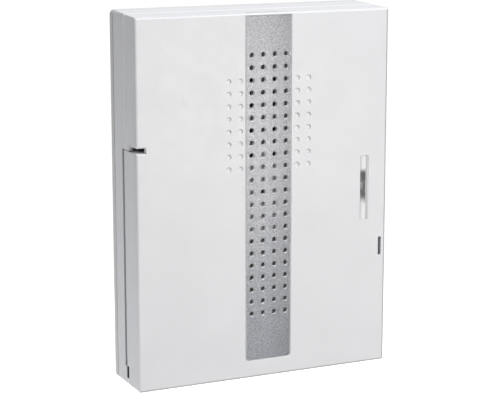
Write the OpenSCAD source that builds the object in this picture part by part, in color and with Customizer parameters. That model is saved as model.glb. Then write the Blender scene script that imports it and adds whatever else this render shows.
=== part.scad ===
// Doorbell chime box: an electronic wall chime with a front cover hinged on its left side.
// Millimetres, +Z up. The front looks along -Y and the wall is the plane y = 0.
// The origin is the middle of the wall plate's back face.

/* [Case] */
// Width of the case
case_w = 140; // [136:1:165]
// Height of the case, measured at its front
case_h = 188; // [184:1:215]
// Depth of the case, from the wall to the front
case_d = 34; // [32:0.5:44]
// How much higher the top stands at the wall than at the front
top_rise = 1.6; // [0.4:0.1:3]
// How much lower the bottom lies at the wall than at the front
bottom_fall = 0.6; // [0.2:0.1:1.5]
// Radius of the case's corners, seen from the front
corner_r = 2.5; // [1.5:0.1:4]
// Radius of the cover's front edges
edge_r = 1.2; // [0.6:0.1:1.8]
// Wall thickness of the cover and the housing
wall_t = 2.2; // [1.8:0.1:2.6]
// Thickness of the cover's front
front_t = 3; // [3:0.1:3.6]
// Thickness of the housing's floor
floor_t = 2; // [1.6:0.1:3]
// Thickness of the wall plate
plate_t = 3.7; // [3.2:0.1:5]
// Width of the groove between the wall plate and the housing
plate_groove = 0.9; // [0.3:0.1:1.2]

/* [Cover and hinge] */
// Depth of the cover's walls, from the front to the seam
cover_d = 13.9; // [13:0.1:16]
// Gap between the cover and the housing at the seam
seam_gap = 0.4; // [0.3:0.05:0.7]
// How far the housing's bottom wall reaches in front of the seam
bottom_step = 2.6; // [1:0.1:4]
// Gap between the hinge barrel and the housing behind it
barrel_gap = 1.5; // [0.4:0.1:1.6]
// Distance from the seam back to the hinge axis
hinge_set = 2.1; // [2:0.05:3]
// Radius of the hinge barrel
barrel_r = 1.6; // [1.5:0.05:2]
// Radius of the hinge pins
pin_r = 0.9; // [0.7:0.05:1]
// Running clearance of the hinge pins in the housing
pin_fit = 0.06; // [0.03:0.01:0.1]
// Length of each hinge pin inside the barrel
pin_bite = 6; // [4:0.5:10]
// Length of each hinge pin outside the barrel
pin_reach = 5; // [3:0.5:5.5]
// Height of the notch's lower edge above mid-height
notch_z = 27.5; // [10:0.5:35]
// Height of the notch
notch_h = 2.8; // [1.5:0.1:4]
// Width of the notch on the front
notch_w = 5.4; // [3:0.1:7]
// Bevel of the notch's edges
notch_bevel = 0.5; // [0.2:0.1:0.8]
// Depth of the notch along the side
notch_d = 10; // [6:0.5:11]
// Height of the lower hinge knuckle, with its open slot
knuckle_h = 6; // [5.5:0.1:9]
// Height of the lower knuckle's foot above the case's bottom
knuckle_foot = 3.6; // [3:0.1:8]
// Height of the rim that the housing sets into the cover
rim_h = 2; // [1:0.1:3]
// Thickness of that rim
rim_t = 1.4; // [1:0.1:2]

/* [Grille] */
// Distance of the strip's centre line from the case's centre line
strip_x = 1.6; // [-3:0.1:3]
// Width of the strip
strip_w = 25.3; // [23:0.1:30]
// Thickness of the strip
strip_t = 2.2; // [1.6:0.1:2.2]
// Thickness that is left behind the strip's blind holes
strip_skin = 0.4; // [0.2:0.1:0.6]
// Bevel of the strip's edges and of its recess
strip_bevel = 0.3; // [0.1:0.05:0.5]
// Plain cover below the strip
strip_foot = 9.2; // [6:0.1:14]
// Radius of the strip's lower corners
strip_r = 1.8; // [0.5:0.1:3]
// Play between the strip and its recess
strip_fit = 0.1; // [0.05:0.05:0.2]
// Radius of the holes
hole_r = 1.32; // [0.9:0.01:1.6]
// Chamfer of the holes' rims
hole_rim = 0.18; // [0.1:0.01:0.3]
// Spacing of the holes
hole_pitch = 6.345; // [5.6:0.005:6.6]
// Distance of the hole grid's centre line from the case's centre line
grid_x = 1.85; // [-3:0.05:3]
// Distance of the first row of holes below the case's top
grid_drop = 20.8; // [19:0.1:24]
// Columns of holes in the strip
hole_cols = 4; // [2:2:4]
// Rows of holes in the strip
hole_rows = 22; // [12:1:22]
// Column of the single deep hole below the sound field
lone_col = 1; // [0:1:1]
// Row of the single deep hole below the sound field
lone_row = 11; // [10:1:11]
// Radius of the sound holes behind the strip
sound_r = 1.15; // [0.8:0.05:1.3]
// Row at which the sound field starts
field_row = 2; // [2:1:3]
// Rows of the sound field
field_rows = 8; // [6:1:9]
// Columns of dimples on each side of the strip
dimple_cols = 2; // [1:1:3]
// Radius of each dimple on the surface
dimple_r = 1.35; // [0.8:0.05:1.8]
// Radius of each dimple's flat bottom
dimple_foot_r = 1; // [0.5:0.05:1.6]
// Depth of each dimple
dimple_d = 0.5; // [0.3:0.05:0.8]

/* [Light window] */
// Distance of the window's centre line from the right side
window_in = 13.1; // [10:0.1:18]
// Height of the window's centre above the case's bottom
window_up = 94.8; // [88:0.1:97]
// Width of the window
window_w = 4.6; // [4:0.1:6]
// Height of the window
window_h = 33.8; // [26:0.1:40]
// Thickness of the window's front
window_t = 1.5; // [1.2:0.1:1.8]
// Play around the window
window_fit = 0.1; // [0.05:0.05:0.2]
// Height of the light guide behind the window
guide_h = 16.4; // [10:0.1:20]
// Height of the light guide's centre above the window's centre
guide_up = 1.2; // [0:0.1:4]
// Width of the light guide
guide_w = 3.4; // [2.5:0.1:3.6]

/* [Latch] */
// Distance of the release slit's centre line from the right side
slit_in = 3.5; // [3.2:0.1:4]
// Width of the release slit
slit_w = 1.7; // [1.2:0.1:2]
// Height of the release slit
slit_h = 9.7; // [7:0.1:12]
// Height of the release slit's centre above the case's bottom
slit_up = 62.8; // [58:0.1:70]
// Thickness of the latch tongue
tongue_t = 1.4; // [1.2:0.1:1.6]
// Radius of the round foot that the latch tongue turns on
tongue_foot_r = 1.5; // [1.3:0.05:1.7]
// How far the latch nose reaches over its keeper
latch_bite = 0.5; // [0.3:0.05:0.7]
// Running clearance of the latch foot, the knob and the button
run_fit = 0.06; // [0.03:0.01:0.1]

/* [Loudspeaker] */
// Radius of the loudspeaker's frame
spk_r = 28.5; // [26:0.1:29]
// Depth of the loudspeaker's basket
spk_basket_d = 8.5; // [7:0.1:10]
// Thickness of the loudspeaker's sheet metal
spk_sheet = 0.8; // [0.6:0.1:1.2]
// Radius of the loudspeaker's magnet
magnet_r = 14; // [11:0.1:15]
// Thickness of the loudspeaker's magnet and yoke
magnet_t = 7; // [5:0.1:8]
// Thickness of the foam gasket
gasket_t = 2; // [1.5:0.1:3]
// Spacing of the loudspeaker's four screws
spk_screw_pitch = 44.5; // [44:0.1:46]
// Radius of the loudspeaker's posts
post_r = 3.2; // [2.8:0.1:3.6]

/* [Circuit board] */
// Distance of the circuit board from the case's left side
board_left = 12; // [11:0.5:14]
// Distance of the circuit board from the case's right side
board_right = 9; // [8.5:0.5:12]
// Height of the circuit board
board_h = 50; // [48:0.5:52]
// Thickness of the circuit board
board_t = 1.6; // [1:0.1:2]
// Height of the circuit board's foot above the case's bottom
board_foot = 50; // [49.5:0.1:51]
// Distance of the circuit board from the housing's floor
board_lift = 5.3; // [4.5:0.1:7]
// Radius of the volume knob
knob_r = 7; // [5:0.1:8]
// Height of the volume knob
knob_h = 8.5; // [6:0.1:9]
// Radius of the melody button
button_r = 3.6; // [2.5:0.1:4.5]
// Travel of the melody button
button_travel = 0.6; // [0.3:0.1:1]
// Poles of the terminal block
poles = 4; // [2:1:4]
// Spacing of the terminal block's poles
pole_pitch = 5; // [5:0.1:5.5]

/* [Batteries] */
// Radius of a cell
cell_r = 7.25; // [7:0.05:7.3]
// Length of a cell with its nub
cell_l = 50.5; // [49:0.1:50.5]
// Spacing of the two rows of cells
row_pitch = 16.2; // [16:0.1:16.6]
// Height of the lower row's axis above the case's bottom
row_up = 14.4; // [13.5:0.1:15]
// Turns of each battery spring
spring_turns = 5; // [4:1:6]
// Radius of a battery spring's wire
spring_wire = 0.4; // [0.3:0.05:0.45]
// Length of each fitted battery spring
spring_l = 9.4; // [8.5:0.1:12]

/* [Wall fixing] */
// Distance of the wall screws from the case's sides
fix_in = 20; // [17:1:22]
// Distance in height between the wall screws
fix_h = 120; // [110:1:122]
// Height of the lower wall screws above the case's bottom
fix_up = 44.5; // [44:0.1:45]
// Radius of the wall screw holes
fix_r = 2.25; // [1.6:0.05:2.75]
// Radius of the openings that the wall screws are reached through
reach_r = 4.25; // [3.5:0.05:4.5]

/* [Hidden] */
$fn = 48;
eps = 0.01;

// Case planes
half_w = case_w / 2;
half_h = case_h / 2;
case_bottom = -half_h;
y_front = -case_d;
y_face = y_front + front_t;
y_seam = y_front + cover_d;
y_rim = y_seam + seam_gap;
y_floor = -plate_t - floor_t;
y_plate = -plate_t;
inner_w = half_w - wall_t;
inner_h = half_h - wall_t;
seam_round = 1;
edge_break = 0.4;
past = 1;
soft_gap = 0.3;

// Hinge
barrel_proud = 0.05;
hinge_x = -half_w + barrel_r;
hinge_y = y_seam + hinge_set;
y_gap = hinge_y + barrel_r + barrel_gap;
notch_top = notch_z + notch_h;
knuckle_z0 = case_bottom + knuckle_foot;
knuckle_z1 = knuckle_z0 + knuckle_h;
barrel_z0 = knuckle_z1 + seam_gap;
barrel_z1 = notch_z;
socket_z = barrel_z1 + seam_gap;
socket_wall = 3.2;
socket_h = pin_reach + 3;

// Grille
grid_z = half_h - grid_drop;
strip_z0 = case_bottom + strip_foot;
strip_z1 = half_h - edge_r;
field_z = grid_z - (field_row + (field_rows - 1) / 2) * hole_pitch;
grid_x0 = grid_x - (hole_cols - 1) / 2 * hole_pitch;
hole_d = strip_t - strip_skin;
half_open_rows = [field_row - 1, field_row + 1];
half_open_shift = [-0.8, 0, -0.6];

// Light window
window_x = half_w - window_in;
window_z = case_bottom + window_up;
guide_z = window_z + guide_up;

// Circuit board
board_x0 = -half_w + board_left;
board_x1 = half_w - board_right;
board_z0 = case_bottom + board_foot;
board_z1 = board_z0 + board_h;
y_board_back = y_floor - board_lift;
y_board = y_board_back - board_t;
board_hole_r = 1.6;
board_edge = 4.5;
led_r = 2.5;
led_h = 8.6;
led_flange_r = 2.9;
led_flange_h = 1;
led_x = window_x;
led_z = guide_z;
y_led = y_board - led_h;
led_clear = 1;
screw_shank_r = 1.25;
screw_head_r = 2.7;
screw_head_h = 1.6;
screw_play = 0.4;
boss_r = 3;

// Loudspeaker
spk_x = grid_x;
spk_z = field_z;
y_gasket = y_face + soft_gap;
y_flange = y_gasket + gasket_t;
y_post = y_flange + spk_sheet;
y_basket = y_flange + spk_basket_d;
y_magnet = y_basket + magnet_t;
basket_r = spk_r - 3;
cone_r = basket_r + 0.5;
cone_play = 0.2;
coil_r = 6.5;
ear_r = 4;
tag_w = 13;
tag_h = 4.5;
tag_z1 = spk_z - magnet_r - 0.5;
y_tag = y_basket + 1;

// Batteries
tray_t = 1.5;
contact_t = 0.5;
cell_gap = 0.1;
nub_r = 2.75;
nub_h = 1;
row_l = 2 * cell_l + spring_l + 2 * contact_t + 3 * cell_gap;
tray_x = row_l / 2;
row_z = [case_bottom + row_up + row_pitch, case_bottom + row_up];
tray_z0 = row_z[1] - cell_r - 0.6;
tray_z1 = row_z[0] + cell_r + 0.6;
cell_lift = 1;
cell_y = y_floor - cell_lift - cell_r;
y_tray = cell_y;
y_tray_end = cell_y - 5;

// Wall fixing
fix_x = half_w - fix_in;
fix_z0 = case_bottom + fix_up;
fix_z1 = fix_z0 + fix_h;
housing_screw_x = inner_w - 6;
housing_screw_z = [half_h - 11, fix_z0];
cable_x = -half_w + 22;
cable_z = 26;
cable_r = 7;

// Latch
slit_x = half_w - slit_in;
slit_z = case_bottom + slit_up;
keeper_x = inner_w - 1.1;
y_keeper0 = y_seam - 6.5;
y_keeper1 = y_seam - 4.5;
nose_x = keeper_x + latch_bite;
y_nose1 = y_keeper0 - soft_gap;
y_nose0 = y_nose1 - 2.5;
tongue_x1 = keeper_x - 1;
tongue_x0 = tongue_x1 - tongue_t;
tongue_z0 = slit_z - slit_h / 2 + soft_gap;
tongue_z1 = slit_z + slit_h / 2 - soft_gap;
tongue_x = (tongue_x0 + tongue_x1) / 2;
tongue_y = y_floor - 3.2;

// Colours
white_plastic = [0.9, 0.9, 0.91];
plate_plastic = [0.84, 0.84, 0.85];
silver_paint = [0.68, 0.69, 0.71];
steel = [0.72, 0.73, 0.75];
brass = [0.78, 0.66, 0.36];
board_green = [0.1, 0.34, 0.22];
black_plastic = [0.1, 0.1, 0.11];

// Solid between two depths from a front view outline
module along_y(y0, y1) {
    translate([0, y1, 0])
        rotate([90, 0, 0])
            linear_extrude(y1 - y0)
                children();
}

// Solid between two widths from a side view outline of depth and height
module along_x(x0, x1) {
    translate([x0, 0, 0])
        rotate([90, 0, 90])
            linear_extrude(x1 - x0)
                children();
}

// Solid between two heights from a plan view outline
module along_z(z0, z1) {
    translate([0, 0, z0])
        linear_extrude(z1 - z0)
            children();
}

// Block between opposite corners
module block(x0, x1, y0, y1, z0, z1) {
    translate([x0, y0, z0])
        cube([x1 - x0, y1 - y0, z1 - z0]);
}

// Round bar square to the wall
module rod_y(r, y0, y1) {
    translate([0, y1, 0])
        rotate([90, 0, 0])
            cylinder(r = r, h = y1 - y0);
}

// Cone square to the wall, with one radius at each depth
module cone_y(r0, r1, y0, y1) {
    translate([0, y1, 0])
        rotate([90, 0, 0])
            cylinder(r1 = r1, r2 = r0, h = y1 - y0);
}

// Turned shape about an axis square to the wall, from an outline of radius and distance in front of y1
module turned_y(y1) {
    translate([0, y1, 0])
        rotate([90, 0, 0])
            rotate_extrude()
                children();
}

// Moves a shape to a place seen from the front
module at(x, z) {
    translate([x, 0, z])
        children();
}

// Rectangle with round corners
module rounded_rect(x0, x1, z0, z1, r) {
    translate([x0 + r, z0])
        square([x1 - x0 - 2 * r, z1 - z0]);
    translate([x0, z0 + r])
        square([x1 - x0, z1 - z0 - 2 * r]);
    for (x = [x0 + r, x1 - r], z = [z0 + r, z1 - r]) {
        translate([x, z])
            circle(r);
    }
}

// Height of the case's top and bottom at a depth
function top_at(y) = half_h + top_rise * (y + case_d) / case_d;
function bottom_at(y) = -half_h - bottom_fall * (y + case_d) / case_d;

// Outline of the case from the front, at its widest
module front_outline() {
    rounded_rect(-half_w, half_w, bottom_at(0), top_at(0), corner_r);
}

// Outline of the case from the side between two depths, with drafted top and bottom and round front edges
module side_outline(y0, y1, r) {
    top_tilt = atan(top_rise / case_d);
    bottom_tilt = atan(bottom_fall / case_d);
    top_c = [y0 + r, top_at(y0 + r) - r / cos(top_tilt)];
    bottom_c = [y0 + r, bottom_at(y0 + r) + r / cos(bottom_tilt)];
    polygon([
        [y0, bottom_c[1]],
        bottom_c + r * [-sin(bottom_tilt), -cos(bottom_tilt)],
        [y1, bottom_at(y1)],
        [y1, top_at(y1)],
        top_c + r * [-sin(top_tilt), cos(top_tilt)],
        [y0, top_c[1]]
    ]);
    for (c = [top_c, bottom_c]) {
        translate(c)
            circle(r);
    }
}

// Outline of the case from above between two depths, with round front edges
module plan_outline(y0, y1, r) {
    translate([-half_w + r, y0])
        square([case_w - 2 * r, y1 - y0]);
    translate([-half_w, y0 + r])
        square([case_w, y1 - y0 - r]);
    for (x = [-half_w + r, half_w - r]) {
        translate([x, y0 + r])
            circle(r);
    }
}

// Outer body of the case between two depths
module case_body(y0, y1, r) {
    intersection() {
        along_y(y0, y1)
            front_outline();
        along_x(-half_w - past, half_w + past)
            side_outline(y0, y1 + past, r);
        along_z(bottom_at(0) - past, top_at(0) + past)
            plan_outline(y0, y1 + past, r);
    }
}

// Space inside the case's walls between two depths
module case_inside(y0, y1) {
    along_y(y0, y1)
        rounded_rect(-inner_w, inner_w, -inner_h, inner_h, 0.6);
}

// Pan head screw driven towards the wall, with a cross recess, its head seated at depth y
module pan_screw(y, length, shank_r, head_r, head_h) {
    slot_w = head_r * 0.32;
    slot_l = head_r * 1.2;
    slot_d = head_h * 0.5;
    difference() {
        union() {
            turned_y(y)
                polygon([
                    [0, 0],
                    [head_r, 0],
                    [head_r, head_h * 0.45],
                    [head_r * 0.72, head_h],
                    [0, head_h]
                ]);
            rod_y(shank_r, y - eps, y + length - shank_r);
            cone_y(shank_r, shank_r * 0.25, y + length - shank_r, y + length);
        }
        for (turn = [0, 90]) {
            rotate([0, turn, 0])
                block(-slot_l / 2, slot_l / 2, y - head_h - eps, y - head_h + slot_d,
                      -slot_w / 2, slot_w / 2);
        }
    }
}

// Places of the wall screws, housing screws, board screws and loudspeaker screws
module at_wall_screws() {
    for (x = [-fix_x, fix_x], z = [fix_z0, fix_z1]) {
        at(x, z)
            children();
    }
}

module at_housing_screws() {
    for (x = [-housing_screw_x, housing_screw_x], z = housing_screw_z) {
        at(x, z)
            children();
    }
}

module at_board_screws() {
    at(board_x0 + board_edge, board_z1 - board_edge)
        children();
    at(board_x1 - 15, board_z1 - board_edge)
        children();
    at(board_x0 + board_edge, board_z0 + board_edge)
        children();
    at(board_x1 - board_edge, board_z0 + board_edge)
        children();
}

module at_speaker_screws() {
    for (x = [-0.5, 0.5], z = [-0.5, 0.5]) {
        at(spk_x + x * spk_screw_pitch, spk_z + z * spk_screw_pitch)
            children();
    }
}

// Wall plate: flat front, ribbed back, screw holes and a window for the cable
module wall_plate() {
    pocket_d = plate_t - 2;
    rib = 2;
    rim = 4;
    pocket_cols = 4;
    pocket_rows = 5;
    pocket_w = (case_w - 2 * rim - (pocket_cols - 1) * rib) / pocket_cols;
    pocket_h = (case_h - 2 * rim - (pocket_rows - 1) * rib) / pocket_rows;
    pad_r = 6;
    cable_half = 13;
    color(plate_plastic)
        difference() {
            union() {
                difference() {
                    case_body(y_plate, 0, edge_break);
                    for (i = [0 : pocket_cols - 1], k = [0 : pocket_rows - 1]) {
                        px = -half_w + rim + i * (pocket_w + rib);
                        pz = -half_h + rim + k * (pocket_h + rib);
                        along_y(-pocket_d, past)
                            rounded_rect(px, px + pocket_w, pz, pz + pocket_h, 1.5);
                    }
                }
                at_wall_screws()
                    rod_y(pad_r, -pocket_d - eps, 0);
                at_housing_screws()
                    rod_y(pad_r - 2, -pocket_d - eps, -pocket_d / 2);
                along_y(-pocket_d - eps, 0)
                    rounded_rect(cable_x - cable_half - rib, cable_x + cable_half + rib,
                                 cable_z - cable_half - rib, cable_z + cable_half + rib, 4);
            }
            at_wall_screws()
                rod_y(fix_r, y_plate - past, past);
            at_housing_screws()
                rod_y(screw_shank_r, y_plate - past, past);
            along_y(y_plate - past, past)
                rounded_rect(cable_x - cable_half, cable_x + cable_half,
                             cable_z - cable_half, cable_z + cable_half, 3);
        }
}

// Groove around the housing's back edge
module plate_groove_cut() {
    groove_d = 0.8;
    y0 = y_plate - plate_groove;
    difference() {
        along_y(y0, y_plate + past)
            rounded_rect(-half_w - past, half_w + past, bottom_at(0) - past, top_at(0) + past, corner_r);
        along_y(y0 - past, y_plate + 2 * past)
            rounded_rect(-half_w + groove_d, half_w - groove_d,
                         bottom_at(y0) + groove_d, top_at(y0) - groove_d, corner_r - groove_d);
    }
}

// Housing shell: drafted walls and floor, cut back on the left for the hinge barrel
module housing_shell() {
    pry_x = 19;
    pry_w = 2.4;
    pry_d = 0.8;
    difference() {
        union() {
            case_body(y_rim, y_plate, seam_round);
            intersection() {
                case_body(y_rim - bottom_step, y_plate, edge_break);
                block(-half_w - past, half_w + past, y_front, y_plate, bottom_at(0) - past, -inner_h);
            }
        }
        case_inside(y_front, y_floor);
        block(-half_w - past, -inner_w + past, y_front, y_gap, knuckle_z0, socket_z);
        plate_groove_cut();
        block(pry_x - pry_w / 2, pry_x + pry_w / 2, y_rim - past, y_rim + seam_round,
              top_at(y_rim) - pry_d, top_at(0) + past);
    }
}

// Rim on the housing that the closed cover slides over, open on the hinge side
module housing_rim() {
    rim_w = inner_w - soft_gap;
    rim_top = inner_h - soft_gap;
    root = 3;
    left = -inner_w + 8;
    difference() {
        union() {
            along_y(y_rim - rim_h, y_rim + root)
                rounded_rect(-rim_w, rim_w, -rim_top, rim_top, 0.5);
            along_y(y_rim - bottom_step - rim_h, y_rim)
                rounded_rect(-rim_w, rim_w, -rim_top, -rim_top + 2 * rim_t, 0.5);
            along_y(y_rim, y_rim + root)
                rounded_rect(-inner_w - eps, inner_w + eps, -inner_h - eps, inner_h + eps, 0.5);
        }
        along_y(y_front, y_floor)
            rounded_rect(-rim_w + rim_t, rim_w - rim_t, -rim_top + rim_t, rim_top - rim_t, 0.5);
        block(-half_w, left, y_front, y_floor, -half_h, half_h);
    }
}

// Hinge bearings of the housing: an open knuckle below and a blind socket above
module hinge_bearings() {
    inner_x = -half_w + socket_wall;
    difference() {
        union() {
            along_z(knuckle_z0 - past, knuckle_z1) {
                translate([hinge_x, hinge_y])
                    circle(barrel_r + barrel_proud);
                translate([-half_w, hinge_y])
                    square([socket_wall, y_gap - hinge_y + past]);
            }
            block(-inner_w - eps, inner_x, y_rim + seam_round, y_gap + past, socket_z, socket_z + socket_h);
        }
        translate([hinge_x, hinge_y, knuckle_z0])
            cylinder(r = pin_r + pin_fit, h = knuckle_h + past);
        block(-half_w - past, hinge_x, hinge_y - pin_r - pin_fit, hinge_y + pin_r + pin_fit,
              knuckle_z0, knuckle_z1 + past);
    }
}

// Rear housing: shell, rim, hinge bearings, posts, bosses and the latch socket
module rear_housing() {
    post_hole_d = 9;
    socket_r = tongue_foot_r + 1.4;
    color(white_plastic)
        difference() {
            union() {
                housing_shell();
                housing_rim();
                hinge_bearings();
                at_speaker_screws()
                    rod_y(post_r, y_post, y_floor + eps);
                at_board_screws()
                    rod_y(boss_r, y_board_back, y_floor + eps);
                along_z(tongue_z0, tongue_z1) {
                    translate([tongue_x, tongue_y])
                        circle(socket_r);
                    translate([tongue_x - socket_r, tongue_y])
                        square([2 * socket_r, y_floor - tongue_y + eps]);
                }
            }
            translate([hinge_x, hinge_y, socket_z - eps])
                cylinder(r = pin_r + pin_fit, h = pin_reach + past);
            at_speaker_screws()
                rod_y(screw_shank_r, y_post - past, y_post + post_hole_d);
            at_board_screws()
                rod_y(screw_shank_r, y_board_back - past, y_floor);
            at_housing_screws()
                rod_y(screw_shank_r + screw_play, y_floor - past, y_plate + past);
            at_wall_screws()
                rod_y(reach_r, y_floor - past, y_plate + past);
            at(cable_x, cable_z)
                rod_y(cable_r, y_floor - past, y_plate + past);
            along_z(tongue_z0 - past, tongue_z1 + past) {
                translate([tongue_x, tongue_y])
                    circle(tongue_foot_r + run_fit);
                translate([tongue_x - tongue_t, tongue_y - socket_r - past])
                    square([2 * tongue_t, socket_r + past]);
            }
        }
}

// Four screws that hold the housing to the wall plate
module housing_screws() {
    color(steel)
        at_housing_screws()
            pan_screw(y_floor, floor_t + plate_t - 0.4, screw_shank_r, screw_head_r, screw_head_h);
}

// Rubber membrane grommet in the cable opening
module cable_grommet() {
    lip = 1.6;
    lip_t = 1.2;
    skin = 0.8;
    nose_r = cable_r * 0.45;
    nose_h = 5;
    color(black_plastic)
        at(cable_x, cable_z)
            turned_y(y_plate)
                polygon([
                    [0, floor_t + lip_t + nose_h - skin],
                    [nose_r - skin, floor_t + lip_t + nose_h - skin],
                    [cable_r - 1.6, 0],
                    [cable_r, 0],
                    [cable_r, floor_t],
                    [cable_r + lip, floor_t],
                    [cable_r + lip, floor_t + lip_t * 0.6],
                    [cable_r + lip * 0.6, floor_t + lip_t],
                    [cable_r - 1, floor_t + lip_t],
                    [nose_r, floor_t + lip_t + nose_h],
                    [0, floor_t + lip_t + nose_h]
                ]);
}

// Holes of the strip, by column and row
module at_holes(cols, rows) {
    for (i = cols, k = rows) {
        at(grid_x0 + i * hole_pitch, grid_z - k * hole_pitch)
            children();
    }
}

// Places where the holes go on through the strip and the cover, some of them only in part
module at_sound_holes() {
    at_holes([0 : 2 : hole_cols - 1], [field_row : 2 : field_row + field_rows - 1])
        children();
    at_holes([lone_col], [lone_row])
        children();
    translate(half_open_shift)
        at_holes([0 : hole_cols - 2], half_open_rows)
            children();
}

// Cover shell: front and four walls, with the barrel on the lower left wall
module cover_shell() {
    foot_play = 0.1;
    y_foot = y_rim - bottom_step - seam_gap - foot_play;
    nick = 1.4;
    difference() {
        union() {
            difference() {
                case_body(y_front, y_seam, edge_r);
                case_inside(y_face, y_seam + past);
            }
            along_z(barrel_z0, barrel_z1) {
                translate([-half_w, y_seam - past])
                    square([wall_t, hinge_set + past]);
                translate([hinge_x, hinge_y])
                    circle(barrel_r + barrel_proud);
            }
        }
        block(-half_w - past, half_w + past, y_foot, y_seam + past, bottom_at(0) - past, -inner_h);
        block(-half_w - past, -half_w + nick, y_foot - nick / 2, y_seam, bottom_at(0) - past, -half_h + nick);
        block(-half_w - past, -half_w + notch_w, y_front - past, y_front + notch_d, notch_z, notch_top);
        notch_bevels();
        block(-half_w - past, -inner_w + past, y_front + notch_d - past, y_seam + past,
              notch_z, notch_z + seam_gap);
    }
}

// Bevels along the notch's edges on the front and on the side
module notch_bevels() {
    reach = notch_bevel + past;
    along_x(-half_w - past, -half_w + notch_w)
        polygon([
            [y_front - past, notch_z - reach],
            [y_front + notch_bevel, notch_z],
            [y_front + notch_bevel, notch_top],
            [y_front - past, notch_top + reach]
        ]);
    along_y(y_front - past, y_front + notch_d)
        polygon([
            [-half_w - past, notch_z - reach],
            [-half_w + notch_bevel, notch_z],
            [-half_w + notch_bevel, notch_top],
            [-half_w - past, notch_top + reach]
        ]);
}

// Shelves above and below the notch behind the front
module notch_shelves() {
    shelf_t = 1.4;
    for (z = [notch_z - shelf_t, notch_top]) {
        block(-inner_w - eps, -half_w + notch_w + shelf_t, y_face - eps, y_front + notch_d, z, z + shelf_t);
    }
}

// Stiffening ribs and frames behind the front
module cover_ribs() {
    rib_t = 1.2;
    rib_h = 1.6;
    frame = 1.4;
    for (x = [strip_x - strip_w, strip_x + strip_w]) {
        block(x - rib_t / 2, x + rib_t / 2, y_face - eps, y_face + rib_h, strip_z0, board_z1);
    }
    for (z = [strip_z0, board_z0, board_z1]) {
        block(strip_x - strip_w, strip_x + strip_w, y_face - eps, y_face + rib_h,
              z - rib_t / 2, z + rib_t / 2);
    }
    along_y(y_face - eps, y_face + rib_h)
        rounded_rect(window_x - guide_w / 2 - frame, window_x + guide_w / 2 + frame,
                     guide_z - guide_h / 2 - frame, guide_z + guide_h / 2 + frame, 1);
}

// Hinged front cover with the strip's recess, sound holes, dimples, window, release slit and keeper
module front_cover() {
    color(white_plastic)
        difference() {
            union() {
                cover_shell();
                notch_shelves();
                cover_ribs();
                block(keeper_x, inner_w + eps, y_keeper0, y_keeper1, tongue_z0 - past, tongue_z1 + past);
            }
            strip_body(y_front - past, y_front + strip_t, strip_fit, strip_fit);
            strip_body(y_front - past, y_front + strip_bevel, strip_fit + strip_bevel + past, strip_fit);
            at_sound_holes()
                rod_y(sound_r, y_front, y_face + past);
            at_holes([for (i = [1 : dimple_cols]) each [-i, hole_cols - 1 + i]],
                     [field_row : field_row + field_rows - 1]) {
                cone_y(dimple_r, dimple_foot_r, y_front, y_front + dimple_d);
                rod_y(dimple_r, y_front - past, y_front);
            }
            along_y(y_front - past, y_front + window_t)
                rounded_rect(window_x - window_w / 2 - window_fit, window_x + window_w / 2 + window_fit,
                             window_z - window_h / 2 - window_fit, window_z + window_h / 2 + window_fit, 0.5);
            along_y(y_front, y_face + 2 * past)
                rounded_rect(window_x - guide_w / 2 - window_fit, window_x + guide_w / 2 + window_fit,
                             guide_z - guide_h / 2 - window_fit, guide_z + guide_h / 2 + window_fit, 0.5);
            block(slit_x - slit_w / 2, slit_x + slit_w / 2, y_front - past, y_face + past,
                  slit_z - slit_h / 2, slit_z + slit_h / 2);
            for (z = [barrel_z0 - past, barrel_z1 - pin_bite]) {
                translate([hinge_x, hinge_y, z])
                    cylinder(r = pin_r, h = pin_bite + past);
            }
        }
}

// Body of the strip between two depths, grown by one amount in front and another behind
module strip_body(y0, y1, grow0, grow1) {
    x0 = strip_x - strip_w / 2;
    x1 = strip_x + strip_w / 2;
    mid_z = strip_z0 + strip_r;
    for (x = [x0 + strip_r, x1 - strip_r]) {
        at(x, mid_z)
            cone_y(strip_r + grow0, strip_r + grow1, y0, y1);
    }
    along_z(mid_z, strip_z1 + grow1)
        polygon([[x0 - grow0, y0], [x1 + grow0, y0], [x1 + grow1, y1], [x0 - grow1, y1]]);
    along_x(x0 + strip_r, x1 - strip_r)
        polygon([
            [y0, strip_z0 - grow0],
            [y1, strip_z0 - grow1],
            [y1, mid_z + eps],
            [y0, mid_z + eps]
        ]);
}

// Perforated strip set into the cover, its holes blind but for the sound holes
module grille_strip() {
    color(silver_paint)
        difference() {
            union() {
                strip_body(y_front, y_front + strip_bevel, -strip_bevel, 0);
                strip_body(y_front + strip_bevel, y_front + strip_t, 0, 0);
            }
            at_holes([0 : hole_cols - 1], [0 : hole_rows - 1]) {
                rod_y(hole_r, y_front - past, y_front + hole_d);
                cone_y(hole_r + hole_rim + past, hole_r, y_front - past, y_front + hole_rim);
            }
            at_sound_holes()
                rod_y(sound_r, y_front + hole_d - eps, y_front + strip_t + past);
        }
}

// Clear window with the light guide that reaches back to the signal light
module light_window() {
    color([0.86, 0.88, 0.9])
        union() {
            along_y(y_front + 0.1, y_front + window_t)
                rounded_rect(window_x - window_w / 2, window_x + window_w / 2,
                             window_z - window_h / 2, window_z + window_h / 2, 0.4);
            along_y(y_front + window_t - eps, y_led - led_clear)
                rounded_rect(window_x - guide_w / 2, window_x + guide_w / 2,
                             guide_z - guide_h / 2, guide_z + guide_h / 2, 0.4);
        }
}

// Two steel hinge pins, held in the barrel's ends
module hinge_pins() {
    color(steel)
        for (z = [barrel_z0 - pin_reach, barrel_z1 - pin_bite]) {
            translate([hinge_x, hinge_y, z])
                cylinder(r = pin_r, h = pin_bite + pin_reach);
        }
}

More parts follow.
